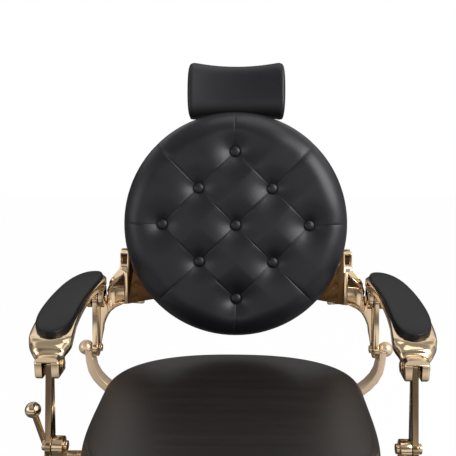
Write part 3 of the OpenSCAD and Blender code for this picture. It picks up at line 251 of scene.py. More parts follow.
def skin(name, loops, finish, closed=False):
    """A surface through loops of points: its two ends are shut with fans, or joined to each other."""
    loops = np.asarray(loops, float)
    m, n = loops.shape[:2]
    points = list(loops.reshape(-1, 3))
    j = np.arange(n)
    k = (j + 1) % n
    faces = []
    for i in range(m if closed else m - 1):
        a, b = i * n, (i + 1) % m * n
        faces += list(np.stack([a + j, a + k, b + k, b + j], 1))
    if not closed:
        points += [loops[0].mean(0), loops[-1].mean(0)]
        faces += list(np.stack([k, j, np.full(n, m * n)], 1))
        faces += list(np.stack([(m - 1) * n + j, (m - 1) * n + k, np.full(n, m * n + 1)], 1))
    return faced_out(piece(name, points, faces, finish))


def around(count):
    """Even angles round a full turn."""
    return np.arange(count) * 2 * math.pi / count


def turned(name, profile, finish, sides=128):
    """A piece turned about the column: points of its closed profile are radius and height."""
    a = around(sides)
    return skin(name, [np.stack([r * np.cos(a), r * np.sin(a), np.full(sides, z)], 1) for r, z in profile],
                finish, True)


def arc(r, z, radius, start, end, steps):
    """Points round a quarter or more of a circle in a turned profile."""
    return [(r + radius * math.cos(math.radians(a)), z + radius * math.sin(math.radians(a)))
            for a in np.linspace(start, end, steps)]


def plated(name, colour, roughness, wave=0.00012, metal=1.0):
    """Polished plating on cast metal: slightly uneven, with a cloudy polish, and a dark brown painted shade
    in its recesses.
    """
    made = Finish(name, Metallic=metal)
    cloud = made.noise(scale=7, detail=3)
    fine = made.noise(scale=180, detail=2)
    dark = tuple(v * 0.88 for v in colour[:3]) + (1,)
    # Painted shade: recesses get a dark brown that stands for the dark a deep recess mirrors
    painted_recess_shade = shade(66, 49, 31)
    recess = made.node("ShaderNodeAttribute", {"attribute_name": "Recess"}, {}, "Fac").held()
    made.feed(Base_Color=made.mix(recess, made.mix(cloud, dark, colour), painted_recess_shade),
              Roughness=roughness * (0.75 + 0.3 * cloud + 0.3 * fine))
    made.bumps(made.noise(scale=38, detail=2) + 0.05 * fine, wave)
    return made


def dress(finish, *nodes):
    """Gives CAD nodes whose shape is right their finish."""
    for node in nodes:
        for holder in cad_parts[node].material_slots:
            holder.material = finish.material


gold = plated("champagne_gold", shade(238, 211, 174), 0.12)
plate_paint = Finish("painted_casting", Roughness=0.55)
speckle = plate_paint.noise(scale=260, detail=3)
plate_paint.feed(Base_Color=plate_paint.mix(speckle, shade(38, 38, 38), shade(56, 56, 55)))
plate_paint.bumps(speckle, 0.0004)
rubber = Finish("black_rubber", Roughness=0.75)
dust = rubber.noise(scale=120, detail=3)
rubber.feed(Base_Color=rubber.mix(dust, shade(24, 24, 24), shade(40, 40, 40)))
rubber.bumps(dust, 0.0002)

rim_low, rim_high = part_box("base_rim")
cover_low, cover_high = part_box("base_cover")
collar_low, collar_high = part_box("base_collar")
rim_r = (rim_high.z - rim_low.z) / 2
rim_mid = rim_high.x - rim_r
rim_lap = 345
fit(turned("rolled_rim", arc(rim_mid, rim_low.z + rim_r, rim_r, 0, rim_lap, 24), gold), "base", "gold_plate",
    "base_rim")

neck, sheet, sweep = 0.069, 0.002, 2.1


def dome(r):
    """Height of the dome's outer face."""
    share = (cover_high.x - r) / (cover_high.x - neck)
    return cover_low.z + sheet + (cover_high.z - cover_low.z - sheet) * share ** sweep


radii = np.linspace(cover_high.x, neck, 40)
fit(turned("dome", [(r, dome(r)) for r in radii] + [(r, dome(r) - sheet) for r in radii[::-1]], gold), "base",
    "gold_plate", "base_cover")

housing_cap, collar_gap, lip = 0.005, 0.0003, 0.006
collar_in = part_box("pump_housing")[1].x + collar_gap - housing_cap
collar_profile = [(collar_in, collar_low.z), (collar_high.x, collar_low.z)]
collar_profile += arc(collar_high.x - lip, collar_high.z - lip, lip, 0, 90, 8)
collar_profile += [(collar_in, collar_high.z)]
fit(turned("collar", collar_profile, gold), "base", "gold_plate", "base_collar")
dress(plate_paint, "base_plate")
dress(rubber, "floor_ring")


# Pump: a plated housing with a bright ram, and a forged pedal on a pin behind it with a ribbed rubber pad.
# The skirt is a thin plated tube that hides the ram and rides up with the seat.
def settled(made):
    """Turns a piece and its modifiers into a plain mesh."""
    mesh = bpy.data.meshes.new_from_object(made.evaluated_get(bpy.context.evaluated_depsgraph_get()))
    made.modifiers.clear()
    made.data = mesh
    return made


def sharpened(made, angle=35):
    """Smooth shading that keeps edges sharper than an angle."""
    made.data.set_sharp_from_angle(angle=math.radians(angle))
    return made


def recast(node, body, slot, finish, edge, clamped=False, cut=False):
    """A node's shape with its edges rounded as a casting's or a machined part's are.

    Clamped keeps thin parts from rounding over each other, and cut splits large faces first.
    """
    weld, level, hard = 0.00001, math.radians(1), math.radians(30)
    made = bpy.data.objects.new(node + "_body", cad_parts[node].data.copy())
    bpy.context.collection.objects.link(made)
    solid = bmesh.new()
    solid.from_mesh(made.data)
    bmesh.ops.remove_doubles(solid, verts=solid.verts, dist=weld)
    bmesh.ops.dissolve_limit(solid, angle_limit=level, verts=solid.verts, edges=solid.edges)
    if cut:
        bmesh.ops.triangulate(solid, faces=[face for face in solid.faces if len(face.verts) > 4])
    solid.to_mesh(made.data)
    solid.free()
    made.data.materials.clear()
    made.data.materials.append(finish.material)
    rounding = made.modifiers.new("edges", "BEVEL")
    rounding.width, rounding.segments = edge, 3
    rounding.limit_method, rounding.angle_limit = "ANGLE", hard
    rounding.use_clamp_overlap = clamped
    smoothed(settled(made).data)
    return fit(sharpened(made, 40), body, slot, node)


class Growth(Tree):
    """A geometry tree with named sizes, which ends in real faces of one finish."""

    def __init__(self, name, sizes):
        super().__init__(bpy.data.node_groups.new(name, "GeometryNodeTree"))
        kinds = {float: "NodeSocketFloat", tuple: "NodeSocketVector"}
        ports = self.tree.interface
        ports.new_socket("Geometry", in_out="INPUT", socket_type="NodeSocketGeometry")
        self.named = {key: ports.new_socket(key, in_out="INPUT", socket_type=kinds[type(value)])
                      for key, value in sizes.items()}
        ports.new_socket("Geometry", in_out="OUTPUT", socket_type="NodeSocketGeometry")
        self.sizes = sizes
        self.group = self.tree.nodes.new("NodeGroupInput")

    def seed(self):
        """The points that the tree grows on."""
        return Socket(self, self.group.outputs[0])

    def size(self, key):
        return Socket(self, self.group.outputs[key])

    def ends(self, shape, finish):
        real = self.node("GeometryNodeRealizeInstances", {}, {"Geometry": shape})
        dressed = self.node("GeometryNodeSetMaterial", {}, {"Geometry": real, "Material": finish.material})
        out = self.tree.nodes.new("NodeGroupOutput")
        self.tree.links.new(dressed.link, out.inputs["Geometry"])

    def grow(self, name, points, finish, where=Matrix.Identity(4), joins=()):
        """Runs the tree on points, joined one after another where asked, and keeps its plain mesh."""
        seed = bpy.data.meshes.new(name)
        seed.from_pydata([tuple(map(float, p)) for p in points], list(joins), [])
        made = bpy.data.objects.new(name, seed)
        bpy.context.collection.objects.link(made)
        modifier = made.modifiers.new("growth", "NODES")
        modifier.node_group = self.tree
        for key, value in self.sizes.items():
            modifier[self.named[key].identifier] = value
        mesh = settled(made).data
        mesh.transform(where)
        smoothed(mesh)
        mesh.materials.clear()
        mesh.materials.append(finish.material)
        mesh.polygons.foreach_set("material_index", [0] * len(mesh.polygons))
        return made


def from_solid(name, solid, material):
    """An object from a mesh in the making."""
    mesh = bpy.data.meshes.new(name)
    solid.to_mesh(mesh)
    solid.free()
    mesh.materials.append(material)
    made = bpy.data.objects.new(name, mesh)
    bpy.context.collection.objects.link(made)
    return made


def joined(name, *parts):
    """One smooth object from several that touch."""
    solid = bmesh.new()
    for part in parts:
        solid.from_mesh(part.data)
    material = parts[0].data.materials[0]
    for part in parts:
        bpy.data.objects.remove(part)
    made = from_solid(name, solid, material)
    smoothed(made.data)
    return made


def ribbed(name, span, count, rib, where, finish):
    """Moulded ribs side by side along X, as long as the pad is deep, or a single slab."""
    tree = Growth(name, {"Rib": rib})
    bar = tree.node("GeometryNodeMeshCube", {}, {"Size": tree.size("Rib")})
    set_out = tree.node("GeometryNodeInstanceOnPoints", {}, {"Points": tree.seed(), "Instance": bar})
    tree.ends(set_out, finish)
    points = [((i / max(1, count - 1) - 0.5) * span, 0, 0) for i in range(count)]
    return sharpened(tree.grow(name, points, finish, where))


steel = plated("bright_steel", shade(205, 204, 202), 0.16, 0.00004)
recast("pump_pedal", "pedal", "gold_plate", gold, 0.0015)
pedal_low, pedal_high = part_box("pedal_pad")
pedal_slope = math.radians(8)
on_pedal = Matrix.Translation((pedal_low + pedal_high) / 2) @ Matrix.Rotation(-pedal_slope, 4, "X")
pedal_w, pedal_d, pedal_t = 0.076, 0.056, 0.010
rib_w, rib_edge = 0.0055, 0.0065
pedal_ribs = ribbed("pedal_ribs", pedal_w - rib_edge, 10, (rib_w, pedal_d, pedal_t * 0.5),
                    on_pedal @ Matrix.Translation((0, 0, pedal_t * 0.24)), rubber)
pedal_sole = ribbed("pedal_sole", 0.0, 1, (pedal_w, pedal_d, pedal_t * 0.52),
                    on_pedal @ Matrix.Translation((0, 0, -pedal_t * 0.23)), rubber)
fit(sharpened(joined("pedal_rubber", pedal_ribs, pedal_sole)), "pedal", "black_rubber", "pedal_pad")
dress(gold, "pump_housing", "column_skirt")
dress(steel, "pump_pin", "lift_ram")


# Seat frame: square tubes, welded and powder coated, on a cast hub with four bolts.
# The recline lock hangs under it, and the lever's bush is pressed into the right rail.
coat = Finish("black_coat", Roughness=0.42)
orange_peel = coat.noise(scale=420, detail=2)
coat.feed(Base_Color=coat.mix(coat.noise(scale=12, detail=3), shade(26, 26, 27), shade(36, 36, 37)))
coat.bumps(orange_peel, 0.00015)
recast("seat_frame", "seat", "frame_steel", coat, 0.002)
recast("seat_hub", "seat", "frame_steel", coat, 0.0015)
dress(coat, "lever_bracket", "lock_cylinder")
dress(steel, "hub_bolts", "back_pins", "headrest_pin")
recast("lock_rod", "lock", "bright_steel", steel, 0.0008, clamped=True)


# Seat cushion: moulded foam on a plywood board under one smooth hide, with a sewn seam round its side.
# It is round behind and square in front, and its crown falls to a full rounded edge.
def hide(name, dark, light, roughness, streak=(6, 6, 6), ior=1.42):
    """Smooth leather: fine pores, faint creases, a cloudy tone, and a near black painted shade where it is
    folded.
    """
    made = Finish(name, Coat_Roughness=0.35, IOR=ior)
    place = made.place()
    stretched = made.node("ShaderNodeMapping", {}, {"Vector": place, "Scale": streak})
    cloud = made.noise(1.0, 4, 0.55, stretched)
    pores = made.node("ShaderNodeTexVoronoi", {"feature": "SMOOTH_F1"},
                      {"Vector": place, "Scale": 780.0, "Smoothness": 0.6})
    wrinkles = made.noise(150, 4, 0.6)
    fold_shade_mask = made.node("ShaderNodeAttribute", {"attribute_name": "Fold"}, {}, "Fac").held()
    # Painted shade: a near black for marked folds, seams and tucks
    painted_fold_shade = shade(10, 10, 11)
    made.feed(Base_Color=made.mix(fold_shade_mask, made.mix(cloud, dark, light), painted_fold_shade),
              Roughness=(roughness * (0.82 + 0.36 * cloud) + 0.2 * fold_shade_mask).held(),
              Coat_Weight=0.18 * (1 - fold_shade_mask))
    made.bumps(0.5 * pores + 0.6 * wrinkles, 0.00022, 0.6)
    return made


def corner(a, b, e, turn):
    """Points of a rounded rectangle of half sizes a and b, squarer as e grows."""
    c, s = np.cos(turn), np.sin(turn)
    return a * np.sign(c) * np.abs(c) ** (2 / e), b * np.sign(s) * np.abs(s) ** (2 / e)


def mark_fold_shade(made, values):
    """Stores how deep in a fold each point lies, for the painted shade in the leather's finish."""
    layer = made.data.attributes.new("Fold", "FLOAT", "POINT")
    values = np.concatenate([np.ravel(values), np.zeros(len(made.data.vertices) - np.size(values))])
    layer.data.foreach_set("value", np.ascontiguousarray(values, dtype=np.float32))


def stitches(name, path, body, slot, pitch=0.0055, gauge=0.0005):
    """Thread that shows as short stitches along a closed seam."""
    tree = Growth(name, {"Pitch": pitch, "Gauge": gauge, "Long": pitch * 0.62})
    seam = tree.node("GeometryNodeMeshToCurve", {}, {"Mesh": tree.seed()})
    spots = tree.node("GeometryNodeResampleCurve", {"mode": "LENGTH"},
                      {"Curve": seam, "Length": tree.size("Pitch")})
    stitch = tree.node("GeometryNodeMeshCylinder", {}, {"Vertices": 6, "Radius": tree.size("Gauge"),
                                                        "Depth": tree.size("Long")})
    along = tree.node("FunctionNodeAlignRotationToVector", {"axis": "Z"},
                      {"Vector": tree.node("GeometryNodeInputTangent")})
    sewn = tree.node("GeometryNodeInstanceOnPoints", {},
                     {"Points": spots, "Instance": stitch, "Rotation": along})
    tree.ends(sewn, thread)
    n = len(path)
    return fit(tree.grow(name, path, thread, joins=[(i, (i + 1) % n) for i in range(n)]), body, slot)


seat_hide = hide("seat_leather", shade(14, 10, 9), shade(32, 24, 20), 0.4, streak=(2.2, 46, 9), ior=1.6)
thread = Finish("black_thread", Base_Color=shade(18, 18, 19), Roughness=0.6)
ply = Finish("plywood", Roughness=0.7)
grain = ply.noise(1.0, 5, 0.6, ply.node("ShaderNodeMapping", {}, {"Vector": ply.place(),
                                                                 "Scale": (60, 3, 60)}))
ply.feed(Base_Color=ply.mix(grain, shade(150, 116, 78), shade(196, 160, 116)))
ply.bumps(grain, 0.0003)

seat_low, seat_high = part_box("seat_cushion")
turn_y = 0.056
half_w = (seat_high.x - seat_low.x) / 2
rear_reach, front_reach = seat_high.y - turn_y, turn_y - seat_low.y
round_rear, square_front = 2.35, 5
seat_sides = 220
seat_turn = around(seat_sides)


def seat_loop(inset, z):
    """A level line round the seat, a little inside its widest."""
    xr, yr = corner(half_w - inset, rear_reach - inset, round_rear, seat_turn)
    xf, yf = corner(half_w - inset, front_reach - inset, square_front, seat_turn)
    in_rear = np.sin(seat_turn) > 0
    return np.stack([np.where(in_rear, xr, xf), turn_y + np.where(in_rear, yr, yf),
                     np.full(seat_sides, z)], 1)


seat_t = seat_high.z - seat_low.z
crown, edge_in, seam_gap = 0.004, 0.014, 0.0022
seam_z = 0.62 * seat_t
edge_z = seat_t - crown
edge_h = edge_z - seam_z
# Inset and height of the side, from under the board up past the seam and over the edge
side_profile = [(0.02, 0.0), (0.009, 0.001), (0.004, 0.004), (0.0015, 0.01)]
side_profile += [(0.0006 - 0.0014 * math.sin(math.pi * s), 0.01 + (seam_z - 0.012) * s)
                 for s in np.linspace(0.08, 1, 9)]
side_profile += [(0.0016, seam_z - 0.0012), (0.0032, seam_z), (0.0016, seam_z + 0.0012)]
seam_row = len(side_profile) - 2
side_profile += [(0.0004 + edge_in * (1 - math.cos(a)),
                  seam_z + seam_gap + (edge_h - seam_gap) * math.sin(a) ** 0.9)
                 for a in np.linspace(0.06, math.pi / 2 - 0.02, 18)]
seat_loops = [seat_loop(inset, seat_low.z + z) for inset, z in side_profile]
middle = np.array([0, turn_y, 0])
edge = seat_loop(edge_in, 0)
for keep in np.linspace(0.985, 0.02, 44):
    top = middle + (edge - middle) * keep
    top[:, 2] = seat_low.z + edge_z + crown * (1 - keep ** 2.2)
    seat_loops.append(top)
seat = skin("seat_hide", seat_loops, seat_hide)
# Painted shade in the groove of the seam and just beside it
seam_shade = np.zeros((len(seat_loops), seat_sides))
seam_shade[seam_row] = 1
seam_shade[seam_row - 1] = seam_shade[seam_row + 1] = 0.4
mark_fold_shade(seat, seam_shade)
fit(seat, "seat", "seat_leather", "seat_cushion")
below_seam = 0.0045
stitches("seat_stitches", seat_loop(0.0004, seat_low.z + seam_z - below_seam), "seat", "seat_leather")
dress(ply, "seat_board")


# Side castings: two curved arms that carry the back on ball hubs, and two brackets for the front posts.
# They are bolted to the ends of the frame, ground, polished and plated.
# Painted light: the supports get a satin plating with a paler colour and a diffuse share, lighter than the
# rest to stand for brighter light on them
lightened_gold = plated("satin_gold", shade(246, 218, 186), 0.3, metal=0.6)
for side in ("left", "right"):
    recast("back_support_" + side, "seat", "gold_plate", lightened_gold, 0.0022, cut=True)
    recast("post_bracket_" + side, "seat", "gold_plate", gold, 0.002, clamped=True)
recast("back_cap_nuts", "seat", "gold_plate", gold, 0.0015, clamped=True)
recast("post_pins", "seat", "gold_plate", gold, 0.0012, cut=True)


# Front posts and tie rods: forged flat links that stand in the arms' clevises and drive the leg rest.
# Their studs have riveted heads, and the eye of each post in its clevis is small and round.
# Painted shade: the posts are the same gold plating, coloured darker for the dark they mirror
shaded_link_gold = plated("polished_links", shade(176, 150, 116), 0.16)
arm_front = (-0.085, 0.653)
eye_at, eye_r, small_eye = Vector(arm_front), 0.016, 0.0095
for side in ("left", "right"):
    post = recast("front_post_" + side, "post_" + side, "gold_plate", shaded_link_gold, 0.0018)
    for v in post.data.vertices:
        off = v.co.yz - eye_at
        if 0.6 * eye_r < off.length < 1.1 * eye_r:
            v.co.yz = eye_at + off * small_eye / eye_r
    recast("tie_rod_" + side, "rod_" + side, "gold_plate", gold, 0.0014)


# Recline lever: a bent rod that comes out from under the seat on the sitter's right, plated,
# with a turned ball knob screwed on its end.
recast("recline_lever", "lever", "gold_plate", gold, 0.0008, clamped=True)
dress(gold, "lever_knob")


# Yokes and cross plate: two cast brackets, each with a sunk panel, a pocket and a leg, and the pressed
# plate between them, coloured dark as painted shade, all held by screws through the board.
# Painted shade: the plate and its screws are the same gold plating, coloured dark brown for the dark they
# mirror
shaded_gold = plated("dark_bronze", shade(98, 71, 45), 0.3)
back_lean = math.radians(11.5)
back_at = Matrix.Translation((0, 0.282, 0.833)) @ Matrix.Rotation(-back_lean, 4, "X")
to_back = back_at.inverted()
recess_y = 0.056
for side in ("left", "right"):
    yoke = recast("yoke_" + side, "back", "gold_plate", gold, 0.0018, cut=True)
    # The floors of the tab's recess and of the pocket get the painted shade of a deep recess
    sunk = [float((to_back @ f.center).y > recess_y and (to_back.to_3x3() @ f.normal).y < -0.8)
            for f in yoke.data.polygons]
    yoke.data.attributes.new("Recess", "FLOAT", "FACE").data.foreach_set("value", sunk)
recast("back_plate", "back", "gold_plate", shaded_gold, 0.001)
dress(shaded_gold, "yoke_bolts")


# Arms: a long cast rail, polished and plated, that swells under the pad and drops into a clevis in front.
# A padded rest covered in leather is screwed down inside the rail's raised rim.
arm_hide = hide("arm_leather", shade(13, 10, 13), shade(17, 13, 17), 0.46, ior=1.28)
arm_tail_y, arm_l = 0.322, 0.429
arm_rear = (0.279, 0.659)
link_x = 0.320
pad_l, pad_w, pad_t = 0.376, 0.070, 0.020
pad_top_z, pad_droop = 0.716, 0.011
pad_x, pad_bow, bow_share, front_swell = 0.328, 0.014, 0.5, 0.11
rail_deep, rail_gap, rim_rise, rim_fall = 0.057, 0.0004, 0.011, 0.35
# How square the rail's section is: its rim beside the pad, its nose, and its underside
rim_square, nose_square, under_square = 12, 3, 2.6
# Along the arm: place, width, drop of the top, depth, and shift towards the link plane
stations = np.array([
    [0.000, 0.68, 0.00, 0.22, 0.50], [0.006, 0.68, 0.00, 0.30, 0.50], [0.016, 0.69, 0.00, 0.40, 0.50],
    [0.035, 0.73, 0.00, 0.47, 0.50], [0.050, 0.82, 0.00, 0.50, 0.45], [0.075, 0.98, 0.00, 0.50, 0.40],
    [0.120, 1.06, 0.00, 0.50, 0.25], [0.200, 1.07, 0.00, 0.44, 0.10], [0.350, 1.09, 0.00, 0.40, 0.00],
    [0.550, 1.11, 0.00, 0.42, 0.00], [0.700, 1.13, 0.00, 0.46, 0.00], [0.800, 1.15, 0.00, 0.52, 0.05],
    [0.860, 1.14, 0.00, 0.56, 0.12], [0.885, 1.10, 0.01, 0.60, 0.20], [0.905, 1.02, 0.03, 0.62, 0.32],
    [0.925, 0.91, 0.07, 0.62, 0.48], [0.943, 0.80, 0.14, 0.58, 0.70], [0.953, 0.68, 0.25, 0.48, 0.90],
    [0.960, 0.64, 0.29, 0.44, 1.00], [0.980, 0.62, 0.31, 0.42, 1.00], [0.995, 0.62, 0.33, 0.40, 1.00]])
sections = np.concatenate([np.linspace(0.0008, 0.03, 14)[:-1], np.linspace(0.03, 0.86, 70),
                           np.linspace(0.86, 0.995, 56)[1:]])
arm_sides = 72
arm_turn = around(arm_sides)
upper = np.sin(arm_turn) > 0


def fullness(s, e):
    """Width of a rounded outline along its length, blunter at both ends as e grows."""
    return np.sqrt(np.maximum(0, 1 - np.abs(2 * s - 1) ** e))


def tail_full(s, e):
    """The same, rounded only at the tail."""
    return np.where(s < 0.5, fullness(np.minimum(s, 0.5), e), 1.0)


def pad_top(s):
    """Height of the pad's top along the arm."""
    return pad_top_z - pad_droop * s ** 2.2


def pad_mid(s):
    """Middle of the pad across the chair, bowed outwards."""
    return pad_x + pad_bow * (1 - ((s - bow_share) / (1 - bow_share)) ** 2)


def eased(x, xs, ys):
    """A smooth curve through given places, without overshoot."""
    d = np.diff(ys) / np.diff(xs)
    bends = np.where(d[:-1] * d[1:] > 0, 2 * d[:-1] * d[1:] / (d[:-1] + d[1:] + 1e-12), 0)
    slope = np.concatenate([[d[0]], bends, [d[-1]]])
    i = np.clip(np.searchsorted(xs, x) - 1, 0, len(xs) - 2)
    h = xs[i + 1] - xs[i]
    u = (x - xs[i]) / h
    return ((1 + 2 * u) * (1 - u) ** 2 * ys[i] + u * (1 - u) ** 2 * h * slope[i]
            + u * u * (3 - 2 * u) * ys[i + 1] + u * u * (u - 1) * h * slope[i + 1])


def rail_loop(s):
    """A section of the rail, with an upper half squarer than the lower one."""
    width, drop, deep, shift = [eased(s, stations[:, 0], stations[:, i]) for i in (1, 2, 3, 4)]
    y = arm_tail_y - arm_l * s
    share = np.clip((arm_tail_y - y) / pad_l, 0, 1)
    top = pad_top(share) - pad_t - rail_gap + rim_rise * (1 - rim_fall * share) - rail_deep * drop
    half_h = rail_deep * deep / 2
    mid = pad_mid(share) * (1 - shift) + link_x * shift
    half_w = pad_w * width * float(tail_full(share, 8)) / 2
    nose = float(np.clip((s - 0.84) / 0.07, 0, 1))
    square = rim_square - (rim_square - nose_square) * nose * nose * (3 - 2 * nose)
    xu, zu = corner(half_w, half_h, square, arm_turn)
    xl, zl = corner(half_w, half_h, under_square, arm_turn)
    x = np.where(upper, xu, xl * (1 - 0.16 * np.abs(np.sin(arm_turn))))
    return np.stack([mid + x, np.full(arm_sides, y), top - half_h + np.where(upper, zu, zl)], 1)


def pad_loops(grown):
    """Sections of the pad along the arm, grown a little where it is to cut its own bed."""
    rise = pad_t * 0.48
    loops = []
    for i in np.linspace(1.2, 62.8, 88):
        s = (1 - math.cos(math.pi * i / 64)) / 2
        full = float(tail_full(s, 4.5)) if s < 0.5 else float(fullness(s, 5))
        half_w = pad_w * (1 + front_swell * s) * full / 2 + grown
        xu, zu = corner(half_w, rise * (0.4 + 0.6 * full), 4.2, arm_turn)
        xl, zl = corner(half_w, pad_t - rise + grown, 5, arm_turn)
        loops.append(np.stack([pad_mid(s) + np.where(upper, xu, xl),
                               np.full(arm_sides, arm_tail_y - pad_l * s),
                               pad_top(s) - rise + np.where(upper, zu, zl)], 1))
    return loops


def block(name, low, high, radius=0.0, segments=4):
    """A box with rounded edges."""
    solid = bmesh.new()
    corners = bmesh.ops.create_cube(solid, size=1.0)["verts"]
    size, mid = Vector(high) - Vector(low), (Vector(high) + Vector(low)) / 2
    for v in corners:
        v.co = Vector([v.co[i] * size[i] + mid[i] for i in range(3)])
    if radius:
        edges = list({e for v in corners for e in v.link_edges})
        bmesh.ops.bevel(solid, geom=edges, offset=radius, segments=segments, affect="EDGES", profile=0.5,
                        clamp_overlap=True)
    return from_solid(name, solid, gold.material)


def carve(made, *cutters):
    """Cuts solids out of a piece."""
    for cutter in cutters:
        cut = made.modifiers.new("cut", "BOOLEAN")
        cut.object, cut.operation, cut.solver = cutter, "DIFFERENCE", "EXACT"
    settled(made)
    for cutter in cutters:
        bpy.data.objects.remove(cutter)
    return made


def rod(name, x0, x1, place, radius, sides, edge):
    """A round bar along X with its two edges broken."""
    a = around(sides)
    profile = [(x0, radius - edge), (x0 + edge * 0.3, radius - edge * 0.3), (x0 + edge, radius),
               (x1 - edge, radius), (x1 - edge * 0.3, radius - edge * 0.3), (x1, radius - edge)]
    return skin(name, [np.stack([np.full(sides, x), place[0] + r * np.cos(a), place[1] + r * np.sin(a)], 1)
                       for x, r in profile], gold)


def mirrored_mesh(made):
    """Turns a piece of the left side into the right side's."""
    made.data.transform(Matrix.Scale(-1, 4, (1, 0, 0)))
    made.data.flip_normals()
    return made


clevis_w, rear_w, slot, over = 0.044, 0.040, 0.0085, 0.01
clevis_low, clevis_high, slot_top = arm_front[1] - 0.0195, arm_front[1] + 0.013, arm_front[1] + 0.0105
lug_r, lug_edge, root_rise, slot_back = 0.022, 0.0022, 0.0225, 0.0253
nose_y = arm_tail_y - arm_l
front_half = arm_front[0] - nose_y
for side in ("left", "right"):
    rail = skin("rail", [rail_loop(s) for s in sections], gold)
    rail = carve(rail,
                 block("cut_front", (link_x - slot, arm_front[0] - 2 * front_half, clevis_low - over),
                       (link_x + slot, arm_front[0] + 1.6 * front_half, slot_top)),
                 block("cut_rear", (link_x - slot, arm_rear[0] - slot_back, arm_rear[1] - 0.03),
                       (link_x + slot, arm_tail_y + over, arm_rear[1] + lug_r)),
                 skin("bed", pad_loops(0.0003), gold))
    clevis = block("front_clevis", (link_x - clevis_w / 2, nose_y, clevis_low),
                   (link_x + clevis_w / 2, nose_y + 2 * front_half, clevis_high), 0.005, 5)
    clevis = carve(clevis, block("cut_slot", (link_x - slot, nose_y - over, clevis_low - over),
                                 (link_x + slot, nose_y + 3 * front_half, slot_top)))
    lugs = []
    for x in (link_x - rear_w / 2, link_x + slot):
        inner = x + rear_w / 2 - slot
        lugs.append(rod("lug", x, inner, arm_rear, lug_r, 64, lug_edge))
        lugs.append(block("lug_root", (x, arm_rear[0] - lug_r, arm_rear[1]),
                          (inner, arm_rear[0] + lug_r, arm_rear[1] + root_rise), 0.0015, 3))
    casting = sharpened(joined("arm_casting_" + side, rail, clevis, *lugs), 40)
    rest = skin("arm_rest_" + side, pad_loops(0), arm_hide)
    if side == "right":
        mirrored_mesh(casting)
        mirrored_mesh(rest)
    fit(casting, "arm_" + side, "gold_plate", "arm_rail_" + side)
    fit(rest, "arm_" + side, "seat_leather", "arm_pad_" + side)
    recast("arm_pins_" + side, "arm_" + side, "gold_plate", gold, 0.0012, cut=True)


# Back cushion: one round hide over thick foam, pulled to the board by nine covered buttons on a lattice
# turned by 45 degrees. Folded pleats run from button to button and from the outer ones over the rim.
black_hide = hide("black_leather", shade(15, 14, 21), shade(21, 20, 28), 0.4)
back_r, back_front, back_rear = 0.251, 0.050, 0.0347
edge_round, rear_in = 0.053, 0.013
flat_part, crown_part = 0.86, 0.14
pitch = 0.081 * math.sqrt(2)
button_r, button_sink = 0.012, 0.0203


def face_depth(r):
    """Depth of the unquilted face, with its crown and rounded rim."""
    e = np.clip((r - back_r + edge_round) / edge_round, 0, 1)
    return (-back_front * (flat_part + crown_part * np.cos(np.pi / 2 * np.minimum(1, r / back_r)))
            + back_front * (1 - np.sqrt(np.maximum(0, 1 - e * e))))


# A square grid that is finest at the buttons and pleats, rings from it to the rim, and the rolled side
fine, crowding = 28, 2.4
half = np.sinh(crowding * np.arange(fine + 1) / fine) / math.sinh(crowding) * pitch / 2
span = np.concatenate([half, pitch - half[-2::-1]])
line = np.concatenate([span - pitch, span[1:]])
n = len(line)
across, along = np.meshgrid(line, line, indexing="ij")
grid = np.stack([across.ravel(), along.ravel()], 1)
index = np.arange(n * n).reshape(n, n)
border = np.concatenate([index[-1, :-1], index[::-1, -1][:-1], index[0, ::-1][:-1], index[:-1, 0]])
eighth = line[:-1] / pitch * math.pi / 4
bearing = np.concatenate([eighth, math.pi / 2 + eighth, math.pi + eighth, 3 * math.pi / 2 + eighth])
way = np.stack([np.cos(bearing), np.sin(bearing)], 1)
rim_in = back_r - edge_round
flat_rings = [grid[border] * (1 - s) + way * rim_in * s for s in np.linspace(0, 1, 25)[1:]]
roll_turns = np.linspace(0, math.pi / 2, 19)[1:]
roll = [rim_in + edge_round * math.sin(a) for a in roll_turns]
roll_depth = [-back_front * (flat_part + crown_part * math.cos(math.pi / 2 * r / back_r))
              + back_front * (1 - math.cos(a)) for r, a in zip(roll, roll_turns)]
rear_edge = [(back_r - rear_in * (1 - math.cos(a)), back_rear * math.sin(a))
             for a in np.linspace(0, math.pi / 2, 11)[1:]]
rear_edge += [(r, back_rear) for r in (0.2, 0.13, 0.06)]
flat = np.concatenate([grid] + flat_rings + [way * r for r in roll] + [way * r for r, d in rear_edge])
radius = np.hypot(flat[:, 0], flat[:, 1])
ring_n = len(border)
depth = np.concatenate([face_depth(radius[:n * n + len(flat_rings) * ring_n]), np.repeat(roll_depth, ring_n),
                        np.repeat([d for r, d in rear_edge], ring_n)])

lattice = [np.array([a, b]) * pitch for a in (-1, 0, 1) for b in (-1, 0, 1)]
pleats = [(a, b) for i, a in enumerate(lattice) for b in lattice[i + 1:]
          if abs(np.linalg.norm(a - b) - pitch) < 1e-4]
inner_pleats = len(pleats)
pleats += [(b, b / np.linalg.norm(b) * back_r) for b in lattice if np.linalg.norm(b) > 0]
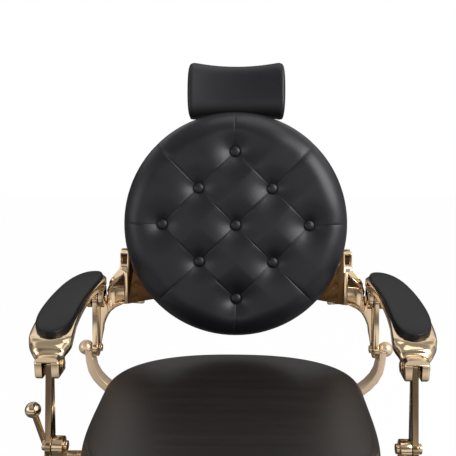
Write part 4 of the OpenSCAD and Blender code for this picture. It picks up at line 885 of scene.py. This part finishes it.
# A pleat's sink and width, both more near the buttons; its sharp groove; a second fold beside it; its lap
pleat_sink, pleat_extra, pleat_reach = 0.0030, 0.0065, 0.026
pleat_w, pleat_wider, wider_reach = 0.0085, 0.004, 0.03
groove_sink, groove_w = 0.0015, 0.0011
second_sink, second_at, second_w, second_reach = 0.0008, 0.0046, 0.0009, 0.036
lap_rise, lap_at, lap_w, lap_far = 0.0005, 0.0024, 0.0012, 0.012
dimple_reach, rim_start, blend_power = 0.027, 0.036, 2.6
luck = np.random.default_rng(7)
near = np.min([np.hypot(*(flat - b).T) for b in lattice], 0)
dimple = button_sink * np.exp(-(np.maximum(0, near - button_r * 0.8) / dimple_reach) ** 1.1)
crease = np.zeros(len(flat))
fold = np.zeros(len(flat))
for i, (a, b) in enumerate(pleats):
    step = b - a
    length = np.linalg.norm(step)
    share = np.clip((flat - a) @ step / length ** 2, 0, 1)
    off = flat - a - share[:, None] * step
    d = np.hypot(*off.T)
    # The fold lies over to one side or the other
    cross = (off @ np.array([-step[1], step[0]])) / length * (1 if luck.random() < 0.5 else -1)
    ends = share * length if i >= inner_pleats else np.minimum(share, 1 - share) * length
    fade = 1.0
    if i >= inner_pleats:
        fade = (1 - 0.85 * np.clip((depth + rim_start) / rim_start, 0, 1)) * (1 - 0.35 * share)
    sink = (pleat_sink + pleat_extra * np.exp(-ends / pleat_reach)) * fade * luck.uniform(0.85, 1.15)
    wide = pleat_w + pleat_wider * np.exp(-ends / wider_reach)
    groove = groove_sink * fade * np.exp(-(d / groove_w) ** 2) * luck.uniform(0.8, 1.1)
    second = np.exp(-((cross - second_at) / second_w) ** 2 - (ends / second_reach) ** 2)
    groove += second_sink * fade * second * luck.uniform(0.5, 1.2)
    lap = (lap_rise * fade * np.exp(-((cross - lap_at) / lap_w) ** 2) * (d < lap_far)
           * luck.uniform(0.3, 1.2))
    value = sink * np.exp(-d / wide) + groove - lap
    crease = np.where(value > crease, value, crease)
    # Painted shade along the groove of each pleat
    fold = np.maximum(fold, fade * np.exp(-(d / 0.0013) ** 2))
pull = (dimple ** blend_power + np.maximum(crease, 0) ** blend_power) ** (1 / blend_power)
pull = np.minimum(pull, button_sink)
# Painted shade also in a ring round each button, where the hide is drawn down
fold = np.maximum(fold * 0.75, np.exp(-(np.maximum(0, near - button_r) / 0.0022) ** 2))
puff = (np.sin(flat[:, 0] * 61 + 1.3) * np.sin(flat[:, 1] * 53 + 0.4) * 0.0006
        * np.clip(near / 0.05, 0, 1))
inward = np.clip(-depth / back_front, 0, 1)
on_face = np.clip(inward * 2.2, 0, 1)
depth = depth + pull * on_face + puff * inward
tuck = 1 - np.clip(1 - inward * 2.2, 0, 1) * np.clip(pull * 0.4, 0, 0.0016) / back_r


def hung(x, z):
    """Lets the tufting hang a little low and turned, as it was pulled by hand; the rim stays."""
    loose = 1 - np.minimum(1, np.hypot(x, z) / back_r) ** 4
    return x + loose * (0.0012 + 0.012 * -z), z + loose * (-0.0032 + 0.008 * -x)


x, z = hung((flat[:, 0] - flat[:, 1]) / math.sqrt(2), (flat[:, 0] + flat[:, 1]) / math.sqrt(2))
points = np.concatenate([np.stack([x * tuck, depth, z * tuck], 1), [[0, back_rear, 0]]])
faces = [(index[i, j], index[i, j + 1], index[i + 1, j + 1], index[i + 1, j])
         for i in range(n - 1) for j in range(n - 1)]
rings = [border] + [n * n + k * ring_n + np.arange(ring_n) for k in range((len(flat) - n * n) // ring_n)]
following = np.roll(np.arange(ring_n), -1)
for a, b in zip(rings, rings[1:]):
    faces += list(np.stack([a, a[following], b[following], b], 1))
faces += [(rings[-1][j], rings[-1][(j + 1) % ring_n], len(points) - 1) for j in range(ring_n)]
back = piece("back_hide", points, faces, black_hide)
mark_fold_shade(back, fold)
faced_out(back)
back.data.transform(back_at)
fit(back, "back", "black_leather", "back_cushion")


# Buttons: nine round shells with a low domed face, covered in the same hide.
# Each is tied down through the foam to the board.
cap = 0.006
button = Growth("covered_buttons", {"Radius": button_r, "Height": cap})
ball = button.node("GeometryNodeMeshUVSphere", {}, {"Segments": 32, "Rings": 16, "Radius": 1.0})
flattened = button.node("ShaderNodeCombineXYZ", {}, {"X": button.size("Radius"), "Y": button.size("Height"),
                                                     "Z": button.size("Radius")})
set_out = button.node("GeometryNodeInstanceOnPoints", {}, {"Points": button.seed(), "Instance": ball,
                                                           "Scale": flattened})
button.ends(set_out, black_hide)
places = []
for b in lattice:
    x, z = hung((b[0] - b[1]) / math.sqrt(2), (b[0] + b[1]) / math.sqrt(2))
    places.append((x, float(face_depth(np.linalg.norm(b))) + button_sink, z))
fit(button.grow("covered_buttons", places, black_hide, back_at), "back", "black_leather", "back_buttons")


# Back board: a round plywood board behind the cushion, covered in the same hide, with a soft edge.
# The cushion is stapled to it, and the yokes are screwed through it.
board_r, board_0, board_1, soft, board_in = 0.236, 0.035, 0.0468, 0.004, 0.1
board_profile = [(board_in, board_0)]
for y, start in ((board_0 + soft, 0), (board_1 - soft, math.pi / 2)):
    board_profile += [(board_r - soft + soft * math.sin(a), y - soft * math.cos(a))
                      for a in np.linspace(start, start + math.pi / 2, 7)]
board_profile += [(board_in, board_1)]
board_turn = around(160)
board = skin("back_board_cover", [
    np.stack([r * np.cos(board_turn), np.full(len(board_turn), y), r * np.sin(board_turn)], 1)
    for r, y in board_profile], black_hide)
board.data.transform(back_at)
fit(board, "back", "black_leather", "back_board")


# Headrest: a saddle-shaped pad with sewn end panels on a covered board, hinged on a bent flat post.
# The post slides in a plated guide on the back and is clamped by a lobed knob.
head_y, head_z = 0.068, 0.308
head_half, head_dip, head_deep, head_hollow = 0.0665, 0.010, 0.030, 0.012
hinge = Matrix.Translation((0, 0.125, head_z))
head_at = back_at @ hinge @ Matrix.Rotation(-math.radians(4), 4, "X") @ hinge.inverted()
end_x, end_bulge, end_start = 0.1055, 0.0085, 0.975
seam_x = end_x - 0.0015
worn_in, worn_run = 0.014, 0.018
head_sides = 120
head_turn = around(head_sides)
in_front = np.cos(head_turn) < 0


def head_loop(x, scale, share):
    """A section of the pad, smaller and flatter in the middle; its upper corners are the rounder ones."""
    mid = 1 - share * share
    h = (head_half - head_dip * mid) * scale
    thin = 0.25 + 0.75 * scale
    fy, fz = corner((head_deep - head_hollow * mid) * thin, h, 3.0, head_turn)
    ry, rz = corner(head_deep * thin, h, 5, head_turn)
    worn = 1 - 0.06 * min(1, max(0, (abs(x) - end_x + worn_in) / worn_run)) ** 2
    z = np.where(in_front, fz, rz)
    return np.stack([np.full(head_sides, x), head_y + np.where(in_front, fy, ry),
                     head_z + np.where(z > 0, z * worn, z)], 1)


half_loops = []
for x in np.concatenate([np.linspace(0, end_x - 0.008, 40), np.linspace(end_x - 0.0075, end_x, 8)]):
    groove = 0.012 * math.exp(-((x - seam_x) / 0.0009) ** 2)
    drawn_in = 0.02 * max(0, (x - end_x + 0.006) / 0.006) ** 2
    half_loops.append(head_loop(x, 1 - groove - drawn_in, x / end_x))
for e in np.linspace(0.04, 1, 16)[:-1]:
    a = e * math.pi / 2
    half_loops.append(head_loop(end_x + end_bulge * math.sin(a) ** 0.8, end_start * math.cos(a) ** 0.72, 1.0))
head_loops = [loop * np.array([-1, 1, 1]) for loop in half_loops[1:]][::-1] + half_loops
head = skin("headrest_hide", head_loops, black_hide)
# Painted shade in the grooves of the seams round the end panels
head_seam_shade = [math.exp(-((abs(loop[0, 0]) - seam_x) / 0.001) ** 2) for loop in head_loops]
# The lower edge is tucked in above the back and lies in its shade
tucked = np.where(np.cos(head_turn) < 0.3, np.clip((-np.sin(head_turn) - 0.4) / 0.3, 0, 1), 0)
mark_fold_shade(head, np.maximum(np.array(head_seam_shade)[:, None], 0.95 * tucked))
head.data.transform(head_at)
fit(head, "headrest", "black_leather", "headrest_cushion")
past_seam = 0.0022
for name, x in (("left", seam_x + past_seam), ("right", -seam_x - past_seam)):
    path = [head_at @ Vector(p) for p in head_loop(x, 0.972, 1.0)]
    stitches("headrest_stitches_" + name, path, "headrest", "black_leather", 0.0048, 0.0004)
recast("headrest_board", "headrest", "black_leather", black_hide, 0.003)
recast("headrest_post", "head_post", "gold_plate", gold, 0.001)
recast("headrest_guide", "back", "gold_plate", gold, 0.0015)
knob_plastic = Finish("black_plastic", Roughness=0.5)
knob_grain = knob_plastic.noise(scale=900, detail=2)
knob_cloud = knob_plastic.noise(scale=30, detail=2)
knob_plastic.feed(Base_Color=knob_plastic.mix(knob_cloud, shade(24, 24, 25), shade(34, 34, 35)))
knob_plastic.bumps(knob_grain, 0.0001)
recast("headrest_knob", "head_knob", "black_plastic", knob_plastic, 0.0015, clamped=True)


# Leg rest: two flat plated bars on a shaft, with a foot plate and its ribbed rubber tread at their ends.
# Between them is a padded board for the calves, covered in the seat's leather.
recast("legrest_frame", "legrest", "gold_plate", gold, 0.0012)
recast("foot_plate", "legrest", "gold_plate", gold, 0.0012)
dress(ply, "calf_board")
rest_at = Matrix.Translation((0, -0.215, 0.405)) @ Matrix.Rotation(-math.radians(20), 4, "X")
calf_w, calf_l, calf_t = 0.380, 0.175, 0.055
calf_y, calf_z = -0.0548, -0.1295
calf_sides = 112
calf_turn = around(calf_sides)
in_front = np.cos(calf_turn) < 0
calf_loops = []
for i in np.linspace(1, 55, 76):
    s = (1 - math.cos(math.pi * i / 56)) / 2
    full = float(fullness(s, 12))
    h = calf_l / 2 * (0.72 + 0.28 * full)
    swell = 1 + 0.03 * math.sin(math.pi * s)
    fy, fz = corner(calf_t / 2 * full * swell, h, 2.7, calf_turn)
    ry, rz = corner(calf_t / 2, h, 7, calf_turn)
    calf_loops.append(np.stack([np.full(calf_sides, calf_w * (s - 0.5)),
                                calf_y + np.where(in_front, fy, ry), calf_z + np.where(in_front, fz, rz)], 1))
calf = skin("calf_hide", calf_loops, seat_hide)
calf.data.transform(rest_at)
fit(calf, "legrest", "seat_leather", "calf_pad")

rest_l, bar_half, foot_l, foot_rim, tread_gap = 0.3, 0.015, 0.2, 0.012, 0.0003
tread_w, tread_l, sole_t, ribs_t = 0.3354, 0.1394, 0.004, 0.003
tread_y = -bar_half - foot_l + foot_rim + tread_gap + tread_l / 2
tread_at = rest_at @ Matrix.Translation((0, tread_y, -rest_l))
tread_sole = ribbed("tread_sole", 0.0, 1, (tread_w, tread_l, sole_t),
                    tread_at @ Matrix.Translation((0, 0, -0.003)), rubber)
lengthwise = Matrix.Translation((0, 0, -0.0005)) @ Matrix.Rotation(math.pi / 2, 4, "Z")
tread_ribs = ribbed("tread_ribs", tread_l - 0.009, 15, (rib_w, tread_w, ribs_t),
                    tread_at @ lengthwise, rubber)
fit(sharpened(joined("tread_rubber", tread_sole, tread_ribs)), "legrest", "black_rubber", "foot_tread")
